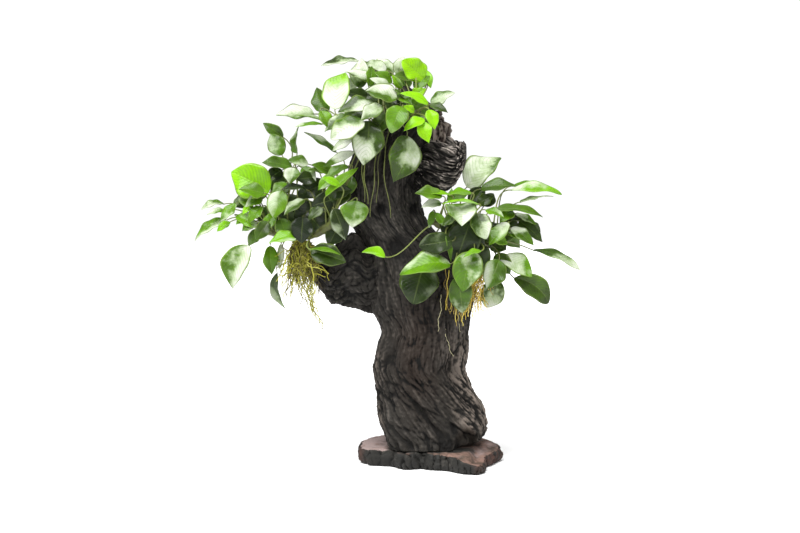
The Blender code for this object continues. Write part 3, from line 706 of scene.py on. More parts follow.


# Plants. A leaf is (base, tip, width, the way it faces, tone, glare amount) and, where it isn't the usual
# one, (arch, fold, bow, bluntness): tone goes from 0, dark green, to 1, lime, partly the leaf's own age and
# partly painted light, dark for leaves in shade and lime for backlit ones; the glare amount is how much
# painted glare, whitish patches standing in for the light's reflection, it has. "leaves" stand for the
# leaves that have a solid, in their order; "smallLeaves" are small or half hidden. The plant's table of
# ways says where a leaf's painted
# glare lies: 0 one side, 0.25 the tip, 0.5 the other side, 0.75 the base.
topPlant = {
    "stem": [(-46, 322, 28), (-24, 332, 31), (0, 341, 31), (20, 348, 27)],
    "bloomWay": {12: 0.25, 15: 0.2, 16: 0.65, 7: 0.4, 4: 0.8},
    "leaves": [
        ((24, 381, -4), (3, 400, 4), 24, (0.2, 1, 0.1), 1.0, 0.0, 0.05, 0.05, 0, 1.0),
        ((-40, 372, -4), (-39, 403, -22), 20, (-0.2, 0.9, 0.4), 0.4, 0.8, 0.06, 0.08),
        ((-42, 399, -24), (-79, 396, -14), 19, (0, 0.45, 0.9), 0.35, 0.95, 0.03, 0.15),
        ((-65, 351, 22), (-55, 388, 2), 30, (-0.25, 0.9, 0.35), 0.9, 1.0, 0.05, 0.08, -0.06),
        ((-72, 348, 0), (-84, 373, -16), 18, (-0.4, 0.85, 0.2), 0.42, 0.0, 0.06, 0.1, -0.06),
        ((-86, 346, -2), (-124, 345, 8), 24, (0, 0.65, 0.76), 0.35, 0.85),
        ((-37, 340, 54), (-69, 321, 66), 27, (-0.2, 0.85, 0.5), 0.5, 0.85, 0.08, 0.1, 0, 0.7),
        ((-26, 356, 42), (-62, 350, 50), 21, (-0.1, 0.75, 0.66), 0.4, 0.6),
        ((-3, 362, 44), (-34, 370, 50), 25, (0, 0.75, 0.65), 0.45, 0.6, 0.06, 0.15),
        ((28, 356, 34), (1, 368, 45), 12, (0.1, 0.8, 0.6), 0.97, 0.0, 0.08, 0.15),
        ((29, 350, 44), (35, 331, 51), 14, (0.3, 0.9, 0.2), 0.95, 0.0, 0.08),
        ((2, 353, 54), (-9, 328, 66), 23, (-0.1, 0.95, 0.3), 0.56, 0.12, 0.1, 0.12, 0, 0.6),
        ((21, 338, 50), (29, 317, 56), 15, (0.1, 1, 0.1), 0.97, 0.0, 0.08),
        ((31, 356, 13), (55, 368, 14), 18, (-0.1, 0.7, 0.7), 0.5, 0.6),
        ((-31, 339, 50), (-37, 295, 52), 33, (0, 0.95, 0.3), 0.22, 0.5, 0.06, 0.06, -0.04),
        ((7, 324, 50), (-7, 278, 50), 32, (0.05, 0.97, 0.25), 0.27, 0.32, 0.06, 0.08, -0.1),
    ],
    "smallLeaves": [
        ((21, 391, -15), (31, 372, -12), 13, (0.4, 0.85, 0.2), 0.97, 0.12, 0.1),
        ((21, 380, -8), (-8, 383, 6), 17, (0, 0.6, 0.8), 0.4, 0.0, 0.08),
        ((2, 372, 12), (-8, 385, 18), 8, (-0.5, 0.7, 0.5), 0.8, 0.2, 0.1, 0.2),
        ((-8, 377, 0), (-25, 388, 4), 13, (0, 0.8, 0.6), 0.55, 0.1, 0.08),
        ((-31, 374, 4), (-28, 394, -6), 13, (0.5, 0.85, 0), 0.55, 0.2, 0.05),
        ((-76, 339, 8), (-105, 345, 16), 9, (0, 0.4, 0.9), 0.5, 0.3, 0.04, 0.2),
        ((-79, 349, 20), (-69, 331, 28), 13, (0.3, 0.9, 0.1), 0.66, 0.1, 0.05),
        ((-18, 354, 50), (-39, 340, 60), 18, (0, 0.8, 0.6), 0.45, 0.5, 0.08),
        ((-6, 368, 24), (-10, 350, 38), 19, (0, 0.9, 0.4), 0.3, 0.1),
        ((7, 359, 38), (-10, 373, 42), 9, (0.4, 0.4, 0.8), 0.4, 0.1),
        ((-31, 362, 14), (-54, 368, 20), 15, (0, 0.9, 0.3), 0.12, 0.0, 0.04),
        ((29, 348, 22), (4, 360, 30), 15, (0, 0.95, 0.2), 0.45, 0.0, 0.05),
        ((14, 348, 44), (3, 354, 50), 8, (0, 0.9, 0.4), 0.9, 0.0, 0.1, 0.2),
        ((24, 341, 50), (4, 329, 58), 13, (-0.2, 0.8, 0.5), 0.95, 0.0, 0.08),
        ((30, 355, 22), (48, 347, 30), 10, (0, 0.8, 0.6), 0.3, 0.1, 0.1),
        ((-2, 384, -14), (3, 404, -22), 15, (0, 1, 0), 0.35, 0.85, 0.05),
        ((-8, 384, -18), (-23, 402, -24), 17, (0, 0.9, 0.4), 0.4, 0.9, 0.05),
        ((-18, 388, -20), (-42, 378, -36), 20, (-0.2, -0.8, 0.5), 0.4, 0.2, 0.08),
        ((0, 386, -20), (6, 366, -38), 19, (0.1, -0.9, 0.4), 0.5, 0.1, 0.08),
        ((-44, 380, -22), (-62, 362, -34), 18, (-0.3, -0.8, 0.4), 0.4, 1.0, 0.08),
        ((-24, 376, -26), (-20, 350, -40), 22, (0, -0.9, 0.35), 0.25, 0.1, 0.08),
        ((-20, 366, 10), (-44, 358, 16), 18, (0, 0.9, 0.4), 0.2, 0.1),
        ((-34, 352, 30), (-58, 340, 36), 20, (0, 0.9, 0.4), 0.35, 0.3),
        ((10, 352, 34), (-8, 340, 44), 18, (0, 0.9, 0.4), 0.3, 0.1),
        ((16, 346, 36), (30, 330, 42), 14, (0.2, 0.9, 0.3), 0.4, 0.0),
        ((-12, 346, 40), (-26, 326, 46), 18, (0, 0.9, 0.3), 0.3, 0.2),
        ((14, 372, 0), (30, 384, -6), 14, (0, 0.8, 0.5), 0.6, 0.2),
        ((-52, 344, 22), (-76, 330, 30), 16, (-0.1, 0.8, 0.5), 0.4, 0.5),
        ((-30, 380, -4), (-54, 390, -2), 15, (0, 0.7, 0.7), 0.4, 0.9),
        ((-14, 390, -10), (-34, 398, -12), 14, (0, 0.8, 0.6), 0.45, 0.9),
        ((12, 362, 16), (26, 372, 14), 12, (0, 0.8, 0.5), 0.9, 0.0),
        ((-78, 336, 22), (-105, 333, 26), 8, (0, 0.5, 0.85), 0.62, 0.4),
        ((-10, 371, 30), (-30, 382, 34), 14, (0, 0.7, 0.7), 0.5, 0.7),
        ((-4, 366, 34), (12, 356, 44), 13, (0.2, 0.8, 0.5), 0.62, 0.2),
        ((-50, 356, 20), (-38, 342, 30), 13, (0.1, 0.9, 0.4), 0.45, 0.5),
        ((-62, 338, 30), (-44, 330, 40), 14, (0, 0.8, 0.6), 0.6, 0.6),
    ],
}
leftPlant = {
    "stem": [(-134, 230, 12), (-110, 224, 20), (-86, 226, 30), (-64, 238, 38)],
    "bloomWay": {8: 0.25, 11: 0.5, 12: 0.45},
    "leaves": [
        ((-131, 268, 26), (-169, 288, 18), 37, (-0.2, 0.95, 0.25), 0.84, 0.0, 0.05, 0.1, 0.03),
        ((-108, 293, 8), (-138, 298, 14), 20, (0, 0.62, 0.78), 0.42, 0.0),
        ((-118, 305, -6), (-130, 327, -16), 19, (-0.1, 0.95, 0.3), 0.5, 0.25, 0.05),
        ((-117, 323, -24), (-137, 337, -22), 12, (-0.4, 0.8, 0.4), 0.45, 0.15, 0.08),
        ((-103, 307, -6), (-102, 335, -18), 18, (-0.88, 0.45, 0), 0.5, 0.35, 0.05, 0.15, -0.06),
        ((-64, 308, -8), (-96, 328, -2), 14, (0, 0.5, 0.85), 0.45, 0.5, 0.04),
        ((-74, 264, 48), (-43, 294, 44), 12, (-0.5, 0.75, 0.4), 0.72, 0.2, 0.06, 0.5, 0.07),
        ((-43, 259, 54), (-48, 233, 60), 27, (0, 0.95, 0.3), 0.5, 0.52, 0.08),
        ((-66, 251, 50), (-54, 220, 49), 19, (0.2, 0.95, 0.2), 0.12, 0.3, 0.05),
        ((-97, 243, 44), (-99, 217, 46), 24, (0, 1, 0), -0.08, 0.0, 0.05),
        ((-104, 222, 44), (-132, 218, 50), 17, (0.05, 0.65, 0.75), 0.78, 0.35, 0.08, 0.15, 0.03),
        ((-152, 215, 30), (-167, 170, 26), 28, (-0.15, 0.97, 0.2), 0.5, 0.8, 0.06, 0.08, 0.13),
        ((-130, 214, 22), (-128, 185, 22), 16, (0.4, 0.9, 0), 0.55, 0.05, 0.06, 0.1, 0.05),
        ((-123, 187, 14), (-115, 151, 6), 12, (-0.6, 0.8, 0), 0.3, 0.25, 0.08, 0.1, 0.14),
        ((-89, 209, 52), (-54, 198, 55), 23, (0, 0.9, 0.4), 0.3, 0.1, 0.08),
        ((-173, 240, 6), (-206, 220, 12), 17, (-0.2, 0.6, 0.75), 0.55, 0.85, 0.13),
    ],
    "smallLeaves": [
        ((-136, 267, 34), (-161, 271, 38), 18, (0, 0.8, 0.6), 0.6, 0.0),
        ((-119, 269, 36), (-126, 242, 46), 22, (-0.2, 0.95, 0.2), 0.55, 0.35, 0.08),
        ((-107, 292, 28), (-110, 276, 36), 17, (0, 0.85, 0.4), 0.5, 0.6, 0.1, 0.15),
        ((-118, 290, 2), (-134, 279, 8), 15, (0, 1, 0.2), 0.1, 0.0, 0.05),
        ((-84, 282, 18), (-104, 281, 28), 16, (0, 0.9, 0.4), 0.1, 0.0, 0.05),
        ((-74, 288, 16), (-92, 290, 24), 12, (0, 0.6, 0.8), 0.35, 0.3, 0.05),
        ((-94, 270, 30), (-118, 272, 42), 14, (0, 0.5, 0.85), 0.08, 0.1, 0.08),
        ((-96, 260, 40), (-116, 245, 50), 14, (-0.2, 0.7, 0.7), 0.35, 0.4, 0.08),
        ((-52, 294, 36), (-76, 280, 46), 14, (-0.2, 0.6, 0.8), 0.5, 0.2, 0.06, 0.15),
        ((-60, 274, 50), (-79, 283, 46), 8, (-0.2, 0.8, 0.5), 0.86, 0.2, 0.06, 0.3),
        ((-47, 322, 30), (-68, 309, 34), 10, (-0.1, 0.9, 0.4), 0.3, 1.0, 0.05, 0.2),
        ((-119, 216, 16), (-121, 190, 14), 8, (0.2, 0.95, 0), 0.2, 1.0, 0.05, 0.2),
        ((-46, 308, 26), (-78, 293, 22), 10, (0, 0.9, 0.4), 0.45, 0.7, 0.05),
        ((-72, 268, 34), (-48, 270, 38), 17, (0, 1, 0.1), 0.15, 0.0, 0.05),
        ((-120, 241, 36), (-112, 222, 38), 17, (0, 1, 0.1), 0.45, 0.1, 0.05),
        ((-176, 256, 2), (-199, 251, 8), 12, (0, 0.5, 0.85), 0.45, 0.8, 0.16),
        ((-176, 250, 10), (-193, 246, 18), 8, (0, 0.7, 0.7), 0.6, 0.5),
        ((-170, 238, 16), (-183, 229, 22), 9, (0, 0.8, 0.6), 0.8, 0.1, 0.08),
        ((-164, 256, 24), (-179, 239, 30), 13, (-0.3, 0.8, 0.5), 0.6, 0.5),
        ((-154, 265, 14), (-167, 253, 20), 10, (-0.2, 0.8, 0.6), 0.35, 0.1),
        ((-148, 261, 6), (-165, 253, 10), 11, (0, 1, 0), 0.05, 0.0, 0.05),
        ((-151, 254, 30), (-157, 246, 34), 7, (0, 0.9, 0.4), 0.9, 0.0, 0.05),
        ((-138, 253, 32), (-152, 238, 38), 14, (-0.2, 0.8, 0.5), 0.5, 0.2),
        ((-132, 238, 38), (-144, 220, 44), 15, (0, 1, 0.2), 0.3, 0.1),
        ((-60, 262, 30), (-90, 254, 36), 22, (0, 1, 0.1), 0.04, 0.0, 0.05),
        ((-75, 276, 14), (-104, 264, 20), 20, (0, 1, 0.1), 0.06, 0.0, 0.05),
        ((-112, 250, 16), (-116, 222, 18), 26, (0, 1, 0.1), 0.1, 0.1, 0.05),
        ((-92, 248, 30), (-76, 226, 36), 24, (0.1, 1, 0), 0.05, 0.1, 0.05),
        ((-118, 262, 12), (-98, 244, 16), 24, (0, 1, 0.2), 0.08, 0.1, 0.05),
        ((-84, 256, 24), (-106, 236, 26), 24, (0, 1, 0.1), 0.06, 0.0, 0.05),
        ((-64, 250, 30), (-84, 228, 34), 26, (0, 1, 0), 0.04, 0.1, 0.05),
        ((-60, 236, 34), (-72, 214, 36), 20, (0, 1, 0), 0.05, 0.0, 0.05),
        ((-126, 252, 10), (-140, 232, 14), 20, (0, 1, 0.2), 0.3, 0.1, 0.05),
        ((-112, 282, 6), (-130, 262, 8), 20, (0, 1, 0.2), 0.3, 0.2, 0.05),
        ((-92, 296, 6), (-112, 300, 10), 14, (0, 0.8, 0.6), 0.45, 0.6),
        ((-66, 286, 14), (-88, 296, 20), 14, (0, 0.8, 0.6), 0.5, 0.2),
        ((-56, 276, 28), (-66, 252, 34), 22, (0, 1, 0.2), 0.3, 0.2, 0.05),
        ((-134, 276, 8), (-150, 258, 10), 18, (-0.1, 1, 0.2), 0.35, 0.2, 0.05),
        ((-48, 284, 20), (-58, 262, 26), 18, (0, 1, 0.2), 0.45, 0.1, 0.05),
        ((-96, 236, 8), (-74, 226, 4), 22, (0.1, -0.9, 0.4), 0.3, 0.1, 0.08),
        ((-124, 240, 2), (-142, 226, -8), 20, (-0.2, -0.8, 0.5), 0.4, 0.1, 0.08),
        ((-106, 262, -2), (-94, 246, -14), 22, (0, -0.9, 0.4), 0.35, 0.1, 0.08),
        ((-160, 264, 22), (-146, 251, 30), 12, (0.2, 0.9, 0.3), 0.55, 0.3),
        ((-150, 247, 24), (-164, 236, 30), 11, (0, 0.8, 0.5), 0.62, 0.45),
        ((-146, 238, 30), (-158, 229, 34), 11, (0, 0.9, 0.4), 0.5, 0.3),
        ((-138, 263, 28), (-155, 253, 36), 13, (0, 0.8, 0.5), 0.55, 0.5),
        ((-141, 230, 28), (-152, 214, 32), 12, (0, 0.95, 0.2), 0.35, 0.1),
        ((-164, 244, 26), (-141, 232, 36), 12, (0.1, 0.8, 0.5), 0.66, 0.55, 0.06, 0.15),
        ((-126, 246, 32), (-135, 229, 40), 13, (-0.1, 0.9, 0.3), 0.6, 0.2),
        ((-90, 211, 58), (-60, 206, 62), 9, (0, 0.35, 0.92), 0.72, 0.35, 0.06, 0.15),
        ((-114, 277, 20), (-128, 266, 28), 13, (0, 0.8, 0.6), 0.6, 0.2),
        ((-98, 292, 14), (-84, 279, 22), 14, (0.2, 0.9, 0.3), 0.45, 0.45),
        ((-66, 284, 30), (-82, 270, 38), 13, (0, 0.9, 0.3), 0.62, 0.3),
        ((-78, 252, 44), (-92, 240, 50), 12, (0, 0.8, 0.6), 0.3, 0.2),
    ],
}
rightPlant = {
    "stem": [(34, 238, 36), (56, 229, 28), (78, 219, 20), (98, 214, 12)],
    "bloomWay": {8: 0.0, 10: 0.6, 13: 0.75, 1: 0.7},
    "leaves": [
        ((67, 273, -14), (101, 303, -32), 33, (-0.2, 0.85, 0.5), 0.45, 0.8, 0.05, 0.08, -0.08),
        ((81, 271, 2), (120, 274, 8), 20, (0, 0.6, 0.8), 0.4, 0.1, 0.07),
        ((111, 270, 15), (162, 266, 19), 20, (0, 0.5, 0.85), 0.8, 0.4, 0.1, 0.1, 0, 1.3),
        ((96, 251, 22), (143, 244, 30), 18, (0, 0.45, 0.9), 0.5, 0.1, 0.07),
        ((61, 256, 42), (62, 235, 66), 31, (0, 0.75, 0.65), 0.45, 0.6, 0.08, 0.12),
        ((77, 246, 44), (86, 221, 55), 21, (0, 0.92, 0.4), 0.35, 0.75, 0.08, 0.1, 0, 0.8),
        ((52, 219, 52), (19, 214, 58), 22, (0, 0.95, 0.3), 0.08, 0.15, 0.06, 0.06, 0, 0.9),
        ((50, 196, 54), (0, 188, 66), 28, (0, 0.7, 0.7), 0.6, 0.32, 0.12),
        ((24, 198, 51), (13, 156, 55), 38, (0, 0.98, 0.2), 0.12, 0.15, 0.05, 0.06, 0, 0.9),
        ((74, 208, 54), (62, 169, 60), 30, (0, 0.93, 0.35), 0.52, 0.42, 0.08, 0.12, 0.03),
        ((58, 183, 56), (63, 147, 52), 23, (0, 1, 0), 0.3, 0.3, 0.05, 0.08, 0, 0.7),
        ((98, 180, 20), (86, 152, 16), 24, (0, 1, 0), 0.35, 0.65, 0.05, 0.08, 0, 0.8),
        ((100, 201, 24), (132, 184, 30), 22, (0.1, 0.85, 0.5), 0.65, 0.8, 0.07, 0.1, -0.1, 0.8),
        ((114, 182, 14), (149, 157, 12), 23, (-0.3, 0.9, 0.3), 0.36, 0.0, 0.07, 0.08, -0.13, 1.35),
        ((133, 210, 0), (181, 192, 4), 16, (0, 0.5, 0.87), 0.45, 0.45, 0.08, 0.1, 0, 1.3),
        ((119, 239, 16), (143, 218, 20), 15, (0.3, 0.85, 0.4), 0.15, 0.05),
        ((-15, 203, 53), (-38, 208, 53), 11, (0, 0.8, 0.6), 0.95, 0.25, 0.05, 0.6, 0.08),
    ],
    "smallLeaves": [
        ((114, 274, -8), (138, 274, -14), 12, (0, 0.5, 0.85), 0.5, 0.3, 0.08),
        ((120, 258, -6), (153, 265, -16), 14, (0, 0.15, 1), 0.5, 0.6, 0.04),
        ((78, 256, 4), (93, 264, 6), 14, (0, 0.8, 0.5), 0.3, 0.1),
        ((112, 249, 18), (100, 238, 32), 14, (0, 0.8, 0.6), 0.65, 0.1),
        ((108, 237, 32), (89, 215, 44), 17, (-0.3, 0.85, 0.5), 0.6, 0.45),
        ((70, 256, -6), (84, 273, -14), 18, (0, 1, 0.1), 0.06, 0.0, 0.05),
        ((84, 254, -2), (94, 267, -10), 14, (0, 1, 0), 0.08, 0.0, 0.05),
        ((42, 264, 48), (15, 267, 54), 17, (0, 0.75, 0.65), 0.6, 0.1, 0.08, 0.12),
        ((41, 257, 44), (22, 254, 52), 11, (0, 0.8, 0.6), 0.5, 1.0),
        ((50, 258, 36), (52, 272, 34), 7, (0, 1, 0), 0.6, 0.1),
        ((47, 260, 18), (68, 266, 14), 12, (0, 0.9, 0.4), 0.55, 0.1),
        ((81, 209, 58), (63, 203, 66), 9, (0, 0.5, 0.87), 0.7, 0.1, 0.08),
        ((70, 238, 42), (56, 198, 46), 34, (0, 1, 0.1), 0.04, 0.0, 0.05, 0.06, 0, 0.8),
        ((99, 200, 42), (87, 171, 48), 24, (0.2, 0.95, 0.2), 0.4, 0.3, 0.08, 0.12),
        ((111, 232, 24), (134, 214, 30), 15, (0, 0.7, 0.7), 0.4, 0.4),
        ((131, 238, 0), (141, 228, -4), 7, (0.2, 0.9, 0.3), 0.3, 0.1),
        ((107, 241, 10), (130, 241, 16), 12, (0, 0.6, 0.8), 0.08, 0.0, 0.07),
        ((100, 222, 22), (117, 226, 24), 13, (0, 0.9, 0.4), 0.3, 0.1, 0.05),
        ((90, 214, 28), (106, 210, 32), 12, (0, 0.9, 0.4), 0.2, 0.1, 0.05),
        ((33, 249, 40), (29, 232, 42), 7, (0, 1, 0), 0.5, 0.35, 0.05, 0.2),
        ((36, 247, 42), (45, 234, 44), 8, (0, 1, 0), 0.62, 0.35, 0.05, 0.2),
        ((46, 224, 52), (51, 198, 54), 6, (0.5, 0.8, 0.3), 0.46, 0.1, 0.05, 0.3),
        ((56, 240, 34), (44, 220, 38), 22, (0, 1, 0.1), 0.06, 0.0, 0.05),
        ((84, 236, 24), (100, 216, 28), 22, (0, 1, 0.2), 0.1, 0.1, 0.05),
        ((64, 228, 34), (84, 208, 38), 24, (0, 1, 0.1), 0.05, 0.0, 0.05),
        ((100, 236, 12), (124, 226, 14), 18, (0, 1, 0.3), 0.15, 0.1, 0.05),
        ((90, 228, 12), (106, 210, 16), 18, (0, 1, 0.2), 0.2, 0.1, 0.05),
        ((74, 214, 40), (86, 190, 42), 24, (0, 1, 0.1), 0.12, 0.1, 0.05),
        ((60, 252, 24), (78, 240, 28), 18, (0, 1, 0.3), 0.2, 0.1, 0.05),
        ((96, 206, 24), (110, 186, 26), 18, (0, 1, 0.2), 0.45, 0.1, 0.05),
        ((84, 240, -4), (66, 222, -16), 22, (0, -0.9, 0.4), 0.35, 0.1, 0.08),
        ((100, 228, -4), (120, 212, -14), 20, (0.1, -0.8, 0.5), 0.45, 0.1, 0.08),
        ((50, 265, 44), (26, 266, 52), 8, (0, 0.5, 0.85), 0.85, 0.1, 0.08, 0.15),
        ((71, 267, 30), (47, 265, 38), 12, (0, 0.6, 0.8), 0.75, 0.1, 0.1, 0.15),
        ((78, 256, 50), (42, 256, 60), 8, (0, 0.35, 0.93), 0.82, 0.2, 0.08, 0.15),
        ((92, 224, 38), (108, 216, 34), 12, (0, 0.9, 0.4), 0.58, 0.1),
        ((116, 246, 14), (136, 236, 20), 10, (0, 0.6, 0.8), 0.45, 0.6, 0.07),
        ((106, 230, 20), (122, 222, 26), 11, (0, 0.8, 0.6), 0.5, 0.5, 0.07),
        ((86, 250, 30), (104, 243, 38), 12, (0, 0.6, 0.8), 0.7, 0.3, 0.07),
        ((56, 246, 46), (42, 234, 50), 10, (0, 0.9, 0.4), 0.35, 0.3, 0.07),
    ],
}
plants = {"top": topPlant, "left": leftPlant, "right": rightPlant}
leafShape = {
    "usual": (0.06, 0.1, 0, None),  # arch, fold, bow and, by chance, bluntness
    "rows": 30,
    "across": 13,
    "thick": 0.55,
    "ripple": 0.12,  # height of the margin's waves, as a share of the width
    "midrib": 0.5,  # how far the midrib stands out below
    "crease": (0.0, 0.16),  # how far the halves rise from the midrib, beyond the fold
    "droop": (-0.02, 0.09),  # how far the tip hangs, as a share of the length
    "twist": 0.5,  # how far the blade may turn from base to tip, in radians
    "uneven": 0.045,  # how much each half's width comes and goes
}
stalkShape = {
    "turn": math.radians(137.5),  # round the creeping stem, from one stalk to the next
    "out": 1.6,  # from the creeping stem's middle
    "lean": 0.25,  # how far towards its leaf each stalk's root moves along the stem
    # Shares of the reach: how far it goes with its first and last direction, and how these rise
    "leaveShare": 0.35,
    "leaveLift": (0, -0.07, 0.168),
    "arriveShare": 0.3,
    "arriveEase": (0, 0.15, 0),
    "steps": 18,
    "sides": 7,
    "thick": (0.85, 0.55),
}
stemShape = {
    "radius": 4.1,
    "rows": 60,
    "sides": 20,
    "scars": (0.07, 9),  # how much the leaf scars swell it, and how many they are
    "lumps": (0.35, 4.5),  # how far it is lumpy, and the lumps' size
    "colours": [(0.05, 0.05, 0.012), (0.2, 0.25, 0.045), (0.42, 0.45, 0.16)],
}
leafLook = {
    "greens": [
        (0.0, (0.007, 0.015, 0.004)), (0.3, (0.034, 0.066, 0.007)), (0.55, (0.09, 0.21, 0.005)),
        (0.8, (0.2, 0.47, 0.003)), (1.0, (0.34, 0.76, 0.002)),
    ],
    "ruddy": (1.0, 0.82, 0.7),
    "veins": (11.0, 3.6),  # pairs of them, and how far they bend towards the tip
    "paleVein": (0.45, 0.6, 0.14),
    # Painted glare: the whitish colours that stand in for the light's reflection, and the veins' colour
    # inside it
    "veinInGlare": (0.25, 0.4, 0.12),
    "paintedGlare": ((0.5, 0.6, 0.36), (0.86, 0.88, 0.78)),
    "underside": (0.18, 0.28, 0.07),
    # Pale margin: painted backlight on the thin edge of the leaf
    "margin": (0.5, 0.66, 0.16),
    "glow": (0.4, 0.62, 0.01),
    "seeThrough": 0.34,
    "coat": {"Coat Weight": 0.2, "Coat Roughness": 0.16},
}


def leafWidth(t, blunt):
    # Share of the full width: sin(pi t^0.78) to the power 0.62 + 0.5 t, round below and drawn out at
    # the tip; a blunt leaf is nearer to sin(pi t^0.85) to the power 0.58, and above 1 it is widest
    # past its middle
    t = np.clip(t, 1e-4, 1 - 1e-4)
    late = 0.85 + 0.7 * max(blunt - 1, 0)
    blunt = min(blunt, 1)
    pointed = np.sin(np.pi * t**0.78) ** (0.62 + 0.5 * t)
    return pointed * (1 - blunt) + np.sin(np.pi * t**late) ** 0.58 * blunt


def leafFrame(row):
    # Base, length, and three directions: along the leaf, to its side and out of its upper face
    base, tip = placed(row[0]), placed(row[1])
    length = np.linalg.norm(tip - base)
    along = (tip - base) / length
    face = np.array([row[3][0], -row[3][1], row[3][2]], float)
    normal = unit(face - along * (face @ along))
    return base, length, along, np.cross(along, normal), normal


def leafBlade(row, seed, bloomWay=None):
    # Middle line: base + along t + side bow 4t(1-t) + normal arch 4t(1-t). Each row of points spreads
    # to both sides by the half width and rises by fold |s|^1.6, crease |s| and a wave along the margin.
    # The tip hangs by t^3, the midrib stands out below, and the rows turn slowly from base to tip
    base, length, along, side, normal = leafFrame(row)
    width, tone, frost = row[2], row[4], row[5]
    arch, fold, bow, blunt = (*row[6:], *leafShape["usual"][len(row) - 6:])
    chance = np.random.default_rng(seed)
    t = (0.5 - 0.5 * np.cos(np.linspace(0, np.pi, leafShape["rows"])))[:, None]
    top = np.linspace(-1, 1, leafShape["across"])
    s = np.concatenate([top, top[-2:0:-1]])[None, :]
    below = np.concatenate([np.zeros(len(top)), np.ones(len(top) - 2)])[None, :]
    below = np.where(np.abs(s) > 0.999, 0.5, below)
    blunt = chance.uniform(0, 0.5) if blunt is None else blunt
    half = np.maximum(width / 2 * leafWidth(t, blunt), 0.7 * (1 - 0.7 * t))
    swell = np.sin(2 * np.pi * (chance.uniform(1.0, 2.4) * t + chance.uniform() + 0.3 * np.sign(s)))
    half = half * (1 + leafShape["uneven"] * swell * np.abs(s))
    rise = 4 * t * (1 - t) * length
    thick = leafShape["thick"] * (1 - 0.4 * t) * np.sqrt(np.clip(1.04 - s**2, 0, 1))
    waves = np.sin(2 * np.pi * (chance.uniform(1.3, 2.6) * t + chance.uniform() + 0.25 * np.sign(s)))
    lift = fold * half * np.abs(s) ** 1.6 + leafShape["ripple"] * half * waves * np.abs(s) ** 2.2
    lift = lift + 0.05 * half * np.sin(2 * np.pi * (0.7 * t + chance.uniform()))
    lift = lift + chance.uniform(*leafShape["crease"]) * half * np.abs(s)
    lift = lift - chance.uniform(*leafShape["droop"]) * length * t**3
    rib = leafShape["midrib"] * (1 - 0.8 * t) * np.exp(-((s * half / 0.9) ** 2))
    lift = lift + np.where(below > 0.6, -thick - rib, thick * (1 - 2 * (below > 0.4)))
    lift = lift - np.where(below < 0.4, 0.25 * np.exp(-((s * half / 0.8) ** 2)), 0)
    middle = base + along * (t * length) + side * (bow * rise) + normal * (arch * rise)
    turned = chance.uniform(-1, 1) * leafShape["twist"] * (t - 0.4)
    reach = half * s
    sideways = reach * np.cos(turned) - lift * np.sin(turned)
    outward = reach * np.sin(turned) + lift * np.cos(turned)
    points = middle[:, None] + side * sideways[..., None] + normal * outward[..., None]
    uv = np.stack(np.broadcast_arrays(s * 0.5 + 0.5, t), -1)
    below = np.broadcast_to(below, lift.shape)
    luck = chance.uniform()
    bloomWay = luck if bloomWay is None else bloomWay
    return closedTube(points, uv=uv, tone=tone, frost=frost, below=below, luck=luck, bloomWay=bloomWay)


def stalkPath(row, stem, rank):
    # Cubic Bezier from the creeping stem to just short of the blade: it leaves the stem's near side,
    # rises, and comes in along the blade
    base, _, along = leafFrame(row)[:3]
    line = smoothPath(stem, 0.07 + 0.86 * np.linspace(0, 1, 60))
    wanted = base - (base - line.mean(0)) * stalkShape["lean"]
    root = line[np.argmin(np.linalg.norm(line - wanted, axis=1))]
    turned = stalkShape["turn"] * rank
    root = root + np.array([0, math.cos(turned), math.sin(turned)]) * stalkShape["out"]
    reach = np.linalg.norm(base - root)
    leave = root + (base - root) * stalkShape["leaveShare"] + np.array(stalkShape["leaveLift"]) * reach
    arrive = base - along * (stalkShape["arriveShare"] * reach) + np.array(stalkShape["arriveEase"]) * reach
    q = np.linspace(0, 1, stalkShape["steps"])[:, None]
    end = base + along * 0.3
    return (1 - q) ** 3 * root + 3 * q * (1 - q) ** 2 * leave + 3 * q**2 * (1 - q) * arrive + q**3 * end


